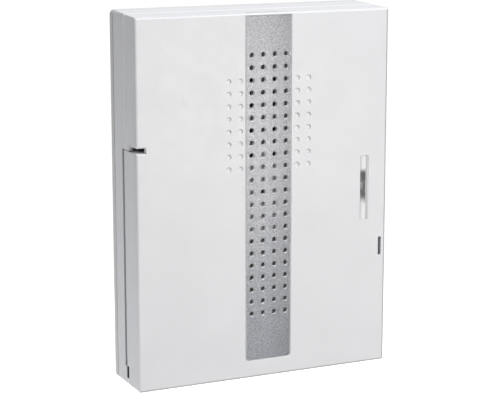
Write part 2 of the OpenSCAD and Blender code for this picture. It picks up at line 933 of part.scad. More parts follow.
// Latch tongue: a round foot, a springy arm and a sloped nose in front of the cover's keeper
module latch_tongue() {
    color(white_plastic)
        along_z(tongue_z0 + soft_gap, tongue_z1 - soft_gap) {
            translate([tongue_x, tongue_y])
                circle(tongue_foot_r);
            translate([tongue_x0, y_nose0])
                square([tongue_t, tongue_y - y_nose0]);
            polygon([
                [tongue_x0, y_nose0],
                [tongue_x1 + 0.4, y_nose0],
                [nose_x, y_nose1 - 0.6],
                [nose_x, y_nose1],
                [tongue_x0, y_nose1]
            ]);
        }
}

// Circuit board with its screw holes
module circuit_board() {
    color(board_green)
        difference() {
            along_y(y_board, y_board_back)
                rounded_rect(board_x0, board_x1, board_z0, board_z1, 1.5);
            at_board_screws()
                rod_y(board_hole_r, y_board - past, y_board_back + past);
        }
}

// Four screws that hold the circuit board
module board_screws() {
    color(steel)
        at_board_screws()
            pan_screw(y_board, board_t + board_lift - 0.5, screw_shank_r, screw_head_r, screw_head_h);
}

// Terminal block places
terminal_x = board_x0 + 22;
terminal_d = 8;
terminal_h = 10;
terminal_z0 = board_z1 - 1 - terminal_d;
terminal_w = poles * pole_pitch + 0.6;
terminal_well_r = 1.9;
terminal_well_d = 4;

module at_poles() {
    for (i = [0 : poles - 1]) {
        at(terminal_x + (i - (poles - 1) / 2) * pole_pitch, terminal_z0 + 3.6)
            children();
    }
}

// Screw terminal block for the bell wires, with its wire openings on top
module terminal_block() {
    entry_w = 3.2;
    entry_h = 3.6;
    entry_d = 3.4;
    color([0.16, 0.4, 0.3])
        difference() {
            along_x(terminal_x - terminal_w / 2, terminal_x + terminal_w / 2)
                polygon([
                    [y_board, terminal_z0],
                    [y_board, terminal_z0 + terminal_d],
                    [y_board - terminal_h * 0.55, terminal_z0 + terminal_d],
                    [y_board - terminal_h, terminal_z0 + terminal_d * 0.72],
                    [y_board - terminal_h, terminal_z0]
                ]);
            at_poles() {
                rod_y(terminal_well_r, y_board - terminal_h - past, y_board - terminal_h + terminal_well_d);
                block(-entry_w / 2, entry_w / 2, y_board - 1 - entry_h, y_board - 1,
                      terminal_d - 3.6 - entry_d, terminal_d);
            }
        }
}

// Slotted screws in the terminal block
module terminal_screws() {
    head_d = 2.2;
    slot = 0.6;
    y_head = y_board - terminal_h + terminal_well_d - head_d;
    color(brass)
        at_poles()
            difference() {
                rod_y(terminal_well_r - 0.15, y_head, y_head + head_d);
                block(-terminal_well_r, terminal_well_r, y_head - eps, y_head + slot, -slot / 2, slot / 2);
            }
}

// Sound chip: a dual in-line package with bent legs
chip_x = board_x0 + 44;
chip_z = board_z0 + 30;
chip_w = 20;
chip_h = 6.4;
chip_t = 3.3;
chip_pins = 8;
pin_pitch = 2.54;

module sound_chip() {
    stand = 0.6;
    leg_w = 0.5;
    leg_t = 0.3;
    shoulder = 0.7;
    color(black_plastic)
        difference() {
            union() {
                block(chip_x - chip_w / 2, chip_x + chip_w / 2, y_board - stand - chip_t, y_board - stand,
                      chip_z - chip_h / 2, chip_z + chip_h / 2);
                for (i = [0 : chip_pins - 1], side = [-1, 1]) {
                    x = chip_x + (i - (chip_pins - 1) / 2) * pin_pitch;
                    z_out = chip_z + side * (chip_h / 2 + shoulder);
                    z_in = chip_z + side * (chip_h / 2 - leg_t);
                    y_leg = y_board - stand - chip_t / 2;
                    block(x - leg_w, x + leg_w, y_leg - leg_t, y_leg, min(z_in, z_out), max(z_in, z_out));
                    block(x - leg_w / 2, x + leg_w / 2, y_leg - leg_t, y_board,
                          min(z_out, z_out - side * leg_t), max(z_out, z_out - side * leg_t));
                }
            }
            at(chip_x - chip_w / 2, chip_z)
                rod_y(0.9, y_board - stand - chip_t - past, y_board - stand - chip_t + 0.5);
        }
}

// Round bridge rectifier for the bell transformer's supply
module rectifier() {
    bridge_r = 4.4;
    bridge_h = 5;
    bevel = 0.4;
    color(black_plastic)
        at(board_x0 + 16, board_z0 + 26)
            turned_y(y_board)
                polygon([
                    [0, 0],
                    [bridge_r, 0],
                    [bridge_r, bridge_h - bevel],
                    [bridge_r - bevel, bridge_h],
                    [0, bridge_h]
                ]);
}

// Three electrolytic capacitors with a pressed groove and a scored top
module capacitors() {
    cap_r = 4;
    cap_h = 11.5;
    groove = 0.4;
    score_l = 5.6;
    score_w = 0.3;
    score_d = 0.2;
    color([0.13, 0.16, 0.3])
        for (i = [0 : 2]) {
            at(board_x0 + 33 + i * 11, board_z0 + 13)
                difference() {
                    turned_y(y_board)
                        polygon([
                            [0, 0],
                            [cap_r, 0],
                            [cap_r, 1.4],
                            [cap_r - groove, 1.8],
                            [cap_r, 2.2],
                            [cap_r, cap_h - groove],
                            [cap_r - groove, cap_h],
                            [0, cap_h]
                        ]);
                    for (turn = [0, 90]) {
                        rotate([0, turn, 0])
                            block(-score_l / 2, score_l / 2, y_board - cap_h - eps, y_board - cap_h + score_d,
                                  -score_w / 2, score_w / 2);
                    }
                }
        }
}

// Signal light behind the light guide
module signal_led() {
    color([0.95, 0.95, 0.9])
        at(led_x, led_z) {
            rod_y(led_flange_r, y_board - led_flange_h, y_board);
            rod_y(led_r, y_led + led_r, y_board - led_flange_h + eps);
            translate([0, y_led + led_r, 0])
                sphere(led_r);
        }
}

// Volume control: the potentiometer's body with a shaft hole, and the knob on its shaft
pot_x = board_x1 - 37;
pot_z = board_z0 + 27;
pot_w = 10;
pot_t = 5;
shaft_r = 2;
shaft_d = 3.5;
y_pot = y_board - pot_t;

module volume_pot() {
    color([0.2, 0.3, 0.5])
        difference() {
            along_y(y_pot, y_board)
                rounded_rect(pot_x - pot_w / 2, pot_x + pot_w / 2, pot_z - pot_w / 2, pot_z + pot_w / 2, 0.6);
            at(pot_x, pot_z)
                rod_y(shaft_r + run_fit, y_pot - past, y_pot + shaft_d + 0.3);
        }
}

module volume_knob() {
    y_knob = y_pot - soft_gap;
    grip_r = 0.5;
    grips = 18;
    color(white_plastic)
        at(pot_x, pot_z)
            difference() {
                union() {
                    rod_y(shaft_r, y_knob - eps, y_pot + shaft_d);
                    turned_y(y_knob)
                        polygon([
                            [0, 0],
                            [knob_r, 0],
                            [knob_r, 1.6],
                            [knob_r - 0.8, 2.2],
                            [knob_r - 1.1, knob_h - 0.8],
                            [knob_r - 1.9, knob_h],
                            [0, knob_h]
                        ]);
                }
                for (i = [0 : grips - 1]) {
                    rotate([0, i * 360 / grips, 0])
                        at(knob_r - 0.75, 0)
                            rod_y(grip_r, y_knob - knob_h - past, y_knob - 2.4);
                }
                block(-0.6, 0.6, y_knob - knob_h - eps, y_knob - knob_h + 0.6, 1.5, knob_r);
            }
}

// Melody button: the switch body with its plunger hole, and the button that travels in it
button_x = board_x1 - 18;
button_z = board_z0 + 27;
switch_w = 7.6;
switch_t = 4.2;
plunger_r = 1.7;
plunger_d = 2.4;
y_switch = y_board - switch_t;

module button_switch() {
    stud_r = 0.6;
    color(black_plastic)
        difference() {
            union() {
                along_y(y_switch, y_board)
                    rounded_rect(button_x - switch_w / 2, button_x + switch_w / 2,
                                 button_z - switch_w / 2, button_z + switch_w / 2, 0.4);
                for (x = [-1, 1], z = [-1, 1]) {
                    at(button_x + x * switch_w * 0.36, button_z + z * switch_w * 0.36)
                        rod_y(stud_r, y_switch - 0.15, y_switch + eps);
                }
            }
            at(button_x, button_z)
                rod_y(plunger_r + run_fit, y_switch - past, y_switch + plunger_d + button_travel);
        }
}

module melody_button() {
    y_cap = y_switch - soft_gap - button_travel;
    cap_h = 4.5;
    color([0.75, 0.2, 0.16])
        at(button_x, button_z) {
            rod_y(plunger_r, y_cap - eps, y_switch + plunger_d - soft_gap);
            turned_y(y_cap)
                polygon([
                    [0, 0],
                    [button_r, 0],
                    [button_r, cap_h - 0.8],
                    [button_r - 0.8, cap_h],
                    [button_r - 1.4, cap_h],
                    [0, cap_h - 0.5]
                ]);
        }
}

// Two sockets on the board that the inner leads are soldered to
socket_w = 6;
socket_d = 5;
socket_t = 4;
y_socket = y_board - socket_t;
lead_r = 0.6;
lead_gap = 2.5;
lead_rise = 12;
speaker_socket = [spk_x, min(board_z1 - 4, tag_z1 - tag_h - lead_rise)];
battery_socket = [board_x0 + 13, board_z0 + 13];

module lead_sockets() {
    slot_w = 0.8;
    slot_in = 0.6;
    color([0.9, 0.88, 0.8])
        for (place = [speaker_socket, battery_socket]) {
            difference() {
                block(place[0] - socket_w / 2, place[0] + socket_w / 2, y_socket, y_board,
                      place[1] - socket_d / 2, place[1] + socket_d / 2);
                for (side = [-1, 1]) {
                    x = place[0] + side * lead_gap / 2;
                    block(x - slot_w / 2, x + slot_w / 2, y_socket + 1, y_board - 1,
                          place[1] - socket_d, place[1] - socket_d / 2 + slot_in);
                }
            }
        }
}

// Loudspeaker frame: flange with four ears, a pressed basket with windows, and the strip for its leads
module speaker_frame() {
    windows = 4;
    window_ring = (basket_r + magnet_r) / 2;
    color(steel)
        difference() {
            union() {
                at(spk_x, spk_z)
                    turned_y(y_basket)
                        polygon([
                            [coil_r + 0.8, 0],
                            [magnet_r, 0],
                            [basket_r, spk_basket_d - spk_sheet],
                            [spk_r, spk_basket_d - spk_sheet],
                            [spk_r, spk_basket_d],
                            [basket_r - spk_sheet, spk_basket_d],
                            [magnet_r - spk_sheet, spk_sheet],
                            [coil_r + 0.8, spk_sheet]
                        ]);
                along_x(spk_x - tag_w / 2, spk_x + tag_w / 2)
                    polygon([
                        [y_tag, tag_z1],
                        [y_tag, tag_z1 - tag_h],
                        [y_basket - tag_h * 0.7, tag_z1 - tag_h],
                        [y_basket - tag_h * 0.2, tag_z1]
                    ]);
                difference() {
                    at_speaker_screws()
                        rod_y(ear_r, y_flange, y_post);
                    at(spk_x, spk_z)
                        rod_y(basket_r, y_flange - past, y_post + past);
                }
            }
            at_speaker_screws()
                rod_y(screw_shank_r + 0.3, y_flange - past, y_post + past);
            for (i = [0 : windows - 1]) {
                at(spk_x, spk_z)
                    rotate([0, 45 + i * 360 / windows, 0])
                        at(window_ring, 0)
                            rod_y(3.6, y_flange + 1.5, y_basket - 1.2);
            }
        }
}

// Ring magnet and yoke behind the basket
module speaker_magnet() {
    yoke_t = 2;
    color([0.24, 0.24, 0.26])
        at(spk_x, spk_z)
            turned_y(y_magnet)
                polygon([
                    [0, 0],
                    [magnet_r - 1.6, 0],
                    [magnet_r - 1.2, 0.4],
                    [magnet_r - 1.2, yoke_t],
                    [magnet_r, yoke_t],
                    [magnet_r, magnet_t],
                    [coil_r + 0.8, magnet_t],
                    [coil_r + 0.8, yoke_t],
                    [coil_r - 1.2, yoke_t],
                    [coil_r - 1.2, magnet_t],
                    [0, magnet_t]
                ]);
}

// Paper cone with its rolled surround, dust cap and voice coil
module speaker_cone() {
    paper = 0.5;
    lip = 1.6;
    roll = 2.4;
    coil_depth = 3;
    cone_d = spk_basket_d - 2.4;
    roll_x = cone_r - lip - roll;
    foot_r = roll_x - roll / 2;
    color([0.2, 0.2, 0.19])
        at(spk_x, spk_z)
            turned_y(y_flange + cone_d) {
                difference() {
                    union() {
                        translate([roll_x, cone_d])
                            circle(roll / 2 + paper);
                        translate([roll_x, cone_d])
                            square([roll + lip, paper]);
                    }
                    translate([roll_x, cone_d])
                        circle(roll / 2);
                    translate([roll_x - roll, cone_d - roll])
                        square([2 * roll, roll]);
                }
                polygon([
                    [coil_r - paper, -coil_depth],
                    [coil_r, -coil_depth],
                    [coil_r, 0],
                    [foot_r - paper, cone_d - paper],
                    [foot_r, cone_d - paper],
                    [foot_r, cone_d + eps],
                    [foot_r - paper, cone_d + eps],
                    [coil_r, paper * 1.6],
                    [coil_r * 0.72, paper + 1.5],
                    [coil_r * 0.38, paper + 2.2],
                    [0, paper + 2.4],
                    [0, 1.9],
                    [coil_r * 0.7, 1],
                    [coil_r - paper, 0]
                ]);
            }
}

// Foam gasket ring between the loudspeaker and the cover
module speaker_gasket() {
    color(black_plastic)
        at(spk_x, spk_z)
            difference() {
                rod_y(spk_r - 0.5, y_gasket, y_flange);
                rod_y(cone_r + cone_play, y_gasket - past, y_flange + past);
            }
}

// Four screws that hold the loudspeaker to its posts
module speaker_screws() {
    spk_screw_l = 8;
    color(steel)
        at_speaker_screws()
            pan_screw(y_flange, spk_screw_l, screw_shank_r, screw_head_r, screw_head_h);
}

// Battery tray on the housing's floor: a frame with cradles for the cells and a divider between the rows
module battery_tray() {
    cradle_t = 1.6;
    base_t = 0.8;
    cell_play = 0.15;
    divider_t = row_pitch - 2 * cell_r - 4 * cell_play;
    divider_in = 10;
    mid_z = (row_z[0] + row_z[1]) / 2;
    color(white_plastic)
        difference() {
            union() {
                for (z = [tray_z0 - tray_t, tray_z1]) {
                    block(-tray_x - tray_t, tray_x + tray_t, y_tray, y_floor, z, z + tray_t);
                }
                for (x = [-tray_x - tray_t, tray_x]) {
                    block(x, x + tray_t, y_tray_end, y_floor, tray_z0 - tray_t, tray_z1 + tray_t);
                }
                block(-tray_x - eps, tray_x + eps, y_floor - base_t, y_floor, tray_z0 - eps, tray_z1 + eps);
                block(-tray_x + divider_in, tray_x - divider_in, y_tray, y_floor,
                      mid_z - divider_t / 2, mid_z + divider_t / 2);
                for (i = [-2 : 2]) {
                    block(i * cell_l * 0.4 - cradle_t / 2, i * cell_l * 0.4 + cradle_t / 2,
                          cell_y + 2, y_floor, tray_z0 - eps, tray_z1 + eps);
                }
            }
            for (z = row_z) {
                translate([-tray_x, cell_y, z])
                    rotate([0, 90, 0])
                        cylinder(r = cell_r + cell_play, h = row_l);
            }
        }
}

// Four round cells, two in each row, the rows turned opposite ways
module battery_cells() {
    color([0.16, 0.17, 0.19])
        for (row = [0, 1], i = [0, 1]) {
            sense = row == 0 ? 1 : -1;
            start = tray_x - contact_t - cell_gap - i * (cell_l + cell_gap);
            translate([sense * start, cell_y, row_z[row]])
                rotate([0, -90 * sense, 0])
                    rotate_extrude()
                        polygon([
                            [0, 0],
                            [nub_r, 0],
                            [nub_r, nub_h],
                            [cell_r - 0.5, nub_h],
                            [cell_r, nub_h + 0.5],
                            [cell_r, cell_l - 0.5],
                            [cell_r - 0.5, cell_l],
                            [0, cell_l]
                        ]);
        }
}

// Tube along a list of points, closed at both ends
function ring_frame(p, i) =
    let (
        n = len(p) - 1,
        ahead = p[min(i + 1, n)] - p[max(i - 1, 0)],
        t = ahead / norm(ahead),
        guide = abs(t[1]) < 0.9 ? [0, 1, 0] : [1, 0, 0],
        u = cross(t, guide)
    )
    [u / norm(u), cross(u / norm(u), t)];

module tube(p, r, sides) {
    points = [
        for (i = [0 : len(p) - 1], s = [0 : sides - 1])
            let (f = ring_frame(p, i), a = s * 360 / sides)
            p[i] + r * (cos(a) * f[0] + sin(a) * f[1])
    ];
    walls = [
        for (i = [0 : len(p) - 2], s = [0 : sides - 1])
            let (a = i * sides + s, b = i * sides + (s + 1) % sides)
            each [[a, b, a + sides], [b, b + sides, a + sides]]
    ];
    ends = [
        for (s = [1 : sides - 2])
            each [[0, s + 1, s], let (e = (len(p) - 1) * sides) [e, e + s, e + s + 1]]
    ];
    polyhedron(points, concat(walls, ends));
}

// Battery springs: conical coils from their contacts to the flat ends of the cells
spring_rings = 8;
spring_sides = 6;
spring_r0 = 5.2;
spring_r1 = 3;

function spring_points(sense, z) = [
    for (i = [0 : spring_turns * spring_rings])
        let (
            f = i / (spring_turns * spring_rings),
            a = f * spring_turns * 360,
            r = spring_r0 + (spring_r1 - spring_r0) * f,
            x = tray_x - contact_t - spring_wire - f * (spring_l - 2 * spring_wire)
        )
        [-sense * x, cell_y + r * cos(a), z + r * sin(a)]
];

function least_gap(p, skip) =
    min([
        for (i = [0 : len(p) - 1], k = [i + skip : 1 : len(p) - 1])
            norm(p[i] - p[k])
    ]) - 2 * spring_wire;

module battery_springs() {
    echo(least_spring_gap = least_gap(spring_points(1, row_z[0]), spring_rings - 2));
    color(steel)
        for (row = [0, 1]) {
            tube(spring_points(row == 0 ? 1 : -1, row_z[row]), spring_wire, spring_sides);
        }
}

// Sheet metal contacts: two on the left with solder tails, one on the right that links the rows
module battery_contacts() {
    plate_half = 6;
    plate_fore = 4.5;
    plate_back = 6.5;
    y0 = cell_y - plate_fore;
    y1 = cell_y + plate_back;
    tail_w = 2;
    tail_l = 5;
    color(brass)
        union() {
            for (z = row_z) {
                block(-tray_x, -tray_x + contact_t, y0, y1, z - plate_half, z + plate_half);
                block(-tray_x - tray_t, -tray_x + contact_t, y_tray_end - contact_t, y_tray_end,
                      z - tail_w / 2, z + tail_w / 2);
                block(-tray_x, -tray_x + contact_t, y_tray_end - eps, y0 + eps,
                      z - tail_w / 2, z + tail_w / 2);
                block(-tray_x - tray_t - contact_t, -tray_x - tray_t, y_tray_end - contact_t,
                      y_tray_end + tail_l, z - tail_w / 2, z + tail_w / 2);
            }
            block(tray_x - contact_t, tray_x, y0, y1, row_z[1] - plate_half, row_z[0] + plate_half);
        }
}

// Inner leads, each a smooth line through a few places chosen by hand
function spline(p, steps) = [
    for (i = [0 : len(p) - 2], k = [0 : (i == len(p) - 2 ? steps : steps - 1)])
        let (
            a = p[max(i - 1, 0)],
            b = p[i],
            c = p[i + 1],
            d = p[min(i + 2, len(p) - 1)],
            t = k / steps
        )
        0.5 * (2 * b + (c - a) * t + (2 * a - 5 * b + 4 * c - d) * t ^ 2 + (3 * b - a - 3 * c + d) * t ^ 3)
];

lead_steps = 4;
lead_sides = 8;
lead_out = [0, -0.3, 0];

// Pair of leads from the board's upper socket to the loudspeaker's basket
module speaker_leads() {
    y_lie = y_tag + lead_r;
    color(black_plastic)
        for (side = [-1, 1]) {
            x = speaker_socket[0] + side * lead_gap / 2;
            start = [x, y_socket, speaker_socket[1]];
            tube(concat([start], spline([
                start + lead_out,
                start + 6 * lead_out,
                [x + side * 1.5, y_socket - 2.4, speaker_socket[1] + 5],
                [x + side * 3, y_lie, tag_z1 - tag_h - 6],
                [x + side * 3, y_lie, tag_z1 - tag_h],
                [x + side * 3, y_lie, tag_z1 - 1]
            ], lead_steps)), lead_r, lead_sides);
        }
}

// Pair of leads from the board's lower socket to the battery contacts
module battery_leads() {
    x_tail = -tray_x - tray_t - contact_t - lead_r;
    color([0.6, 0.1, 0.1])
        for (i = [0, 1]) {
            x = battery_socket[0] + (0.5 - i) * lead_gap;
            x_drop = x_tail - 2.2 * i;
            start = [x, y_socket, battery_socket[1]];
            tube(concat([start], spline([
                start + lead_out,
                start + 6 * lead_out,
                [x - 3, y_socket - 2.4, battery_socket[1] - 5],
                [x_drop + 1.5, y_tray_end + 2.6, tray_z1 + 8],
                [x_drop, y_tray_end + 3, tray_z1 + 3],
                [x_drop, y_tray_end + 3, row_z[i] + 6],
                [x_tail, y_tray_end + 3, row_z[i] - 1]
            ], lead_steps)), lead_r, lead_sides);
        }
}

wall_plate();
rear_housing();
housing_screws();
cable_grommet();
front_cover();
grille_strip();
light_window();
hinge_pins();
latch_tongue();
circuit_board();
board_screws();
terminal_block();
terminal_screws();
sound_chip();
rectifier();
capacitors();
signal_led();
lead_sockets();
volume_pot();
volume_knob();
button_switch();
melody_button();
speaker_frame();
speaker_magnet();
speaker_cone();
speaker_gasket();
speaker_screws();
speaker_leads();
battery_tray();
battery_cells();
battery_springs();
battery_contacts();
battery_leads();
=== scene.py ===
import math

import bmesh
import bpy
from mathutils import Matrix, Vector, noise


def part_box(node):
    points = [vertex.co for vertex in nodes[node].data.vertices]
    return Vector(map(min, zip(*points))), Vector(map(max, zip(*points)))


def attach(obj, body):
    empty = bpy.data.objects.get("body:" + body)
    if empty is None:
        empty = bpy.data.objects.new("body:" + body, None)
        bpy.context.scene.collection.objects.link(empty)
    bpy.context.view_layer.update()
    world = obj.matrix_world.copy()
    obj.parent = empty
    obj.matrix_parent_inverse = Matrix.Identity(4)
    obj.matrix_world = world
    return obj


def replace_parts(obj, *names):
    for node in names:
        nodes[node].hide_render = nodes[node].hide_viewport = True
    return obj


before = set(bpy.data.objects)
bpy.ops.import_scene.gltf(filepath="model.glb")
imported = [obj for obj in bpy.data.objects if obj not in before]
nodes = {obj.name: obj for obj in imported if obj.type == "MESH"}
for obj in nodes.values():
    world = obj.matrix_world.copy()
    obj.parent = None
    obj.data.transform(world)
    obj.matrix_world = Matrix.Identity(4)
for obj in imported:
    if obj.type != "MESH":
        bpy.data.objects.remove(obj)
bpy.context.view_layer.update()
scene = bpy.context.scene
scene.view_settings.view_transform = "Standard"
MM = 0.001
TURN = 2 * math.pi


# Node helpers

# Most values of a noise texture lie between these two
NOISE_LO = 0.3
NOISE_HI = 0.7
# Sockets of the Mix node when it mixes colours
MIX_A = 6
MIX_B = 7
MIX_OUT = 2


class Nodes:
    """Adds and joins the nodes of one tree."""

    def __init__(self, tree):
        self.tree = tree

    def link(self, a, b):
        self.tree.links.new(a, b)

    def add(self, kind, **attrs):
        n = self.tree.nodes.new(kind)
        for key, value in attrs.items():
            setattr(n, key, value)
        return n

    def plug(self, socket, v):
        """Feeds a socket with a number, a colour or another node's output."""
        if isinstance(v, (int, float)):
            socket.default_value = v
        elif isinstance(v, tuple):
            socket.default_value = (*v, 1)
        else:
            self.link(v, socket)

    def math(self, op, *args, clamp=False):
        n = self.add("ShaderNodeMath", operation=op, use_clamp=clamp)
        for socket, v in zip(n.inputs, args):
            self.plug(socket, v)
        return n.outputs["Value"]

    def dot(self, vector, factors):
        n = self.add("ShaderNodeVectorMath", operation="DOT_PRODUCT")
        self.link(vector, n.inputs[0])
        n.inputs[1].default_value = factors
        return n.outputs["Value"]

    def blend(self, fac, a, b):
        n = self.add("ShaderNodeMix")
        for key, v in (("Factor", fac), ("A", a), ("B", b)):
            self.plug(n.inputs[key], v)
        return n.outputs["Result"]

    def over(self, v, limit):
        return self.math("GREATER_THAN", v, limit)

    def under(self, v, limit):
        return self.math("LESS_THAN", v, limit)

    def near(self, v, middle, half):
        """1 within half a width of the middle."""
        return self.math("COMPARE", v, middle, half)

    def between(self, v, lo, hi):
        return self.times(self.over(v, lo), self.under(v, hi))

    def times(self, first, *others):
        """Product of values, which for masks is where all of them are 1."""
        for v in others:
            first = self.math("MULTIPLY", first, v)
        return first

    def either(self, first, *others):
        """Largest of some masks."""
        for v in others:
            first = self.math("MAXIMUM", first, v)
        return first

    def seen_rays(self):
        """1 for rays from the camera, off shiny surfaces and through clear ones."""
        path = self.add("ShaderNodeLightPath").outputs
        return self.either(path["Is Camera Ray"], path["Is Glossy Ray"], path["Is Transmission Ray"])


class Mat(Nodes):
    """A node material with a Principled shader and object coordinates in metres."""

    def __init__(self, name):
        self.mat = bpy.data.materials.new(name)
        self.mat.use_nodes = True
        super().__init__(self.mat.node_tree)
        self.bsdf = self.tree.nodes["Principled BSDF"]
        self.coord = self.add("ShaderNodeTexCoord").outputs["Object"]
        self.normal = None

    def set(self, **values):
        for key, value in values.items():
            self.bsdf.inputs[key.replace("_", " ")].default_value = value
        return self

    def noise(self, scale, detail=2.0, rough=0.5):
        """Noise of so many waves to the metre."""
        n = self.add("ShaderNodeTexNoise")
        n.inputs["Scale"].default_value = scale
        n.inputs["Detail"].default_value = detail
        n.inputs["Roughness"].default_value = rough
        self.link(self.coord, n.inputs["Vector"])
        return n.outputs["Fac"]

    def cells(self, scale):
        n = self.add("ShaderNodeTexVoronoi")
        n.inputs["Scale"].default_value = scale
        self.link(self.coord, n.inputs["Vector"])
        return n.outputs["Distance"]

    def ramp(self, fac, *stops):
        """Colours at stops of (position, colour)."""
        n = self.add("ShaderNodeValToRGB")
        e = n.color_ramp.elements
        for pos, col in stops[1:-1]:
            e.new(pos).color = (*col, 1)
        for el, (pos, col) in ((e[0], stops[0]), (e[-1], stops[-1])):
            el.position = pos
            el.color = (*col, 1)
        self.link(fac, n.inputs["Fac"])
        return n.outputs["Color"]

    def mottle(self, fac, a, b, lo=NOISE_LO, hi=NOISE_HI):
        """Colour that drifts from a to b with a noise."""
        return self.ramp(fac, (lo, a), (hi, b))

    def span(self, value, lo, hi, to_lo=0.0, to_hi=1.0):
        n = self.add("ShaderNodeMapRange")
        for key, v in zip(("From Min", "From Max", "To Min", "To Max"), (lo, hi, to_lo, to_hi)):
            n.inputs[key].default_value = v
        self.link(value, n.inputs["Value"])
        return n.outputs["Result"]

    def uneven(self, fac, lo, hi):
        """Value that drifts from lo to hi with a noise."""
        return self.span(fac, NOISE_LO, NOISE_HI, lo, hi)

    def split(self, vector):
        n = self.add("ShaderNodeSeparateXYZ")
        self.link(vector, n.inputs["Vector"])
        return n.outputs["X"], n.outputs["Y"], n.outputs["Z"]

    def xyz(self):
        return self.split(self.coord)

    def facing(self):
        """Direction that the surface faces, in the part's own frame."""
        return self.split(self.add("ShaderNodeTexCoord").outputs["Normal"])

    def radius(self, u, v):
        return self.math("SQRT", self.math("ADD", self.times(u, u), self.times(v, v)))

    def mix(self, fac, a, b):
        n = self.add("ShaderNodeMix", data_type="RGBA")
        self.plug(n.inputs["Factor"], fac)
        self.plug(n.inputs[MIX_A], a)
        self.plug(n.inputs[MIX_B], b)
        return n.outputs[MIX_OUT]

    def drive(self, key, out):
        self.link(out, self.bsdf.inputs[key])
        return self

    def color(self, out):
        return self.drive("Base Color", out)

    def tone(self):
        """What feeds the base colour so far."""
        return self.bsdf.inputs["Base Color"].links[0].from_socket

    def rough(self, out):
        return self.drive("Roughness", out)

    def edges(self, radius):
        """Moulded edges catch the light as a small round would."""
        n = self.add("ShaderNodeBevel", samples=6)
        n.inputs["Radius"].default_value = radius
        self.normal = n.outputs["Normal"]
        return self.drive("Normal", self.normal)

    def crevice(self, reach, dark):
        """Mask for painted shade: 1 in the open, down to dark where walls stand closer than reach."""
        n = self.add("ShaderNodeAmbientOcclusion", samples=4)
        n.inputs["Distance"].default_value = reach
        shut = 0.1
        free = 0.5
        return self.span(n.outputs["AO"], shut, free, dark, 1.0)

    def bump(self, height, strength, distance):
        n = self.add("ShaderNodeBump")
        n.inputs["Strength"].default_value = strength
        n.inputs["Distance"].default_value = distance
        self.link(height, n.inputs["Height"])
        if self.normal:
            self.link(self.normal, n.inputs["Normal"])
        self.normal = n.outputs["Normal"]
        return self.drive("Normal", self.normal)


def shade(base, f):
    return tuple(min(1.0, c * f) for c in base)


def moulded(name, base, rough=0.42, drift=0.02, grain=2600, depth=0.000012, edge=0.00025, crevice_shade=None):
    """Moulded plastic: colour drift, fine grain, uneven sheen, eased edges and, when asked for, painted shade
    in crevices.
    """
    crevice_dark = 0.3
    sheen = 0.05
    m = Mat(name)
    m.edges(edge)
    tone = m.mottle(m.noise(scale=35, detail=4), shade(base, 1 - drift), shade(base, 1 + drift))
    # Painted shade: the colour darkens where walls stand close
    if crevice_shade:
        tone = m.mix(m.crevice(*crevice_shade), shade(base, crevice_dark), tone)
    m.color(tone)
    m.rough(m.uneven(m.noise(scale=220, detail=3), rough - sheen, rough + sheen))
    return m.bump(m.noise(grain, detail=2, rough=0.6), 0.35, depth)


def metal(name, base, rough=0.32, dark=0.75, grain=900, depth=0.00001):
    """Bare or plated metal: blotchy tone, uneven sheen, fine grain."""
    m = Mat(name)
    m.set(Metallic=1.0)
    m.edges(0.00012)
    m.color(m.mottle(m.noise(scale=160, detail=5), shade(base, dark), base, 0.25, 0.75))
    m.rough(m.uneven(m.noise(scale=400, detail=4), rough - 0.08, rough + 0.1))
    return m.bump(m.noise(grain, detail=3, rough=0.6), 0.3, depth)


def give(m, *names):
    for n in names:
        slots = nodes[n].data.materials
        slots.clear()
        slots.append(m.mat)


# White mouldings, with painted shade where walls stand closer than 3 mm

WHITE = (0.752, 0.762, 0.794)
# White that paints light on the notch and on the housing's seam edge
PAINTED_LIGHT = (0.97, 0.97, 0.98)


def white_satin(name):
    return moulded(name, WHITE, 0.38, crevice_shade=(0.003, 0.0))


give(white_satin("white_satin"), "latch_tongue", "battery_tray")

# Cover: painted shade on the dimples' walls and in the sound bores, painted light in the notch, painted shade
# on two rounded edges
# Fades are (from, to), and the other pairs for cover, housing and strip are (middle, half width)
DIMPLE_RIM_FADE = (0.00005, 0.0002)
DIMPLE_FOOT_FADE = (0.00044, 0.00049)
DIMPLES_X = (0, 0.035)
DIMPLES_Z = (0.03, 0.05)
DIMPLE_SHADE = 0.75
BORE_DEPTH = (0.0026, 0.00034)
BORES_X = (0.0018, 0.0118)
NOTCH_X = -0.0646
NOTCH_Z = 0.0275
NOTCH_END_X = NOTCH_X + 0.0003
NOTCH_FLOOR = (NOTCH_Z, 0.00006)
NOTCH_WALL_X = (NOTCH_X, 0.0002)
NOTCH_WALL_Z = (NOTCH_Z + 0.0014, 0.0018)
EDGE_W = 0.0016
EDGE_DEPTH = 0.0013
LOWER_FADE = (0.12, 0.45)
LOWER_SHARE = 0.70
RIGHT_FADE = (0.04, 0.22)
cover = white_satin("cover_satin")
cover_lo, cover_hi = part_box("front_cover")
x, y, z = cover.xyz()
depth = cover.math("SUBTRACT", y, cover_lo.y)
# Painted shade on the dimples' walls
walls = cover.times(cover.span(depth, *DIMPLE_RIM_FADE), cover.span(depth, *DIMPLE_FOOT_FADE, 1, 0),
                    cover.near(x, *DIMPLES_X), cover.near(z, *DIMPLES_Z))
tone = cover.mix(cover.times(walls, DIMPLE_SHADE), cover.tone(), (0.62, 0.62, 0.63))
# Painted light on the notch's floor and inner end
notch_floor_light = cover.times(cover.under(x, NOTCH_END_X), cover.near(z, *NOTCH_FLOOR))
notch_wall_light = cover.times(cover.near(x, *NOTCH_WALL_X), cover.near(z, *NOTCH_WALL_Z))
tone = cover.mix(cover.either(notch_floor_light, notch_wall_light), tone, PAINTED_LIGHT)
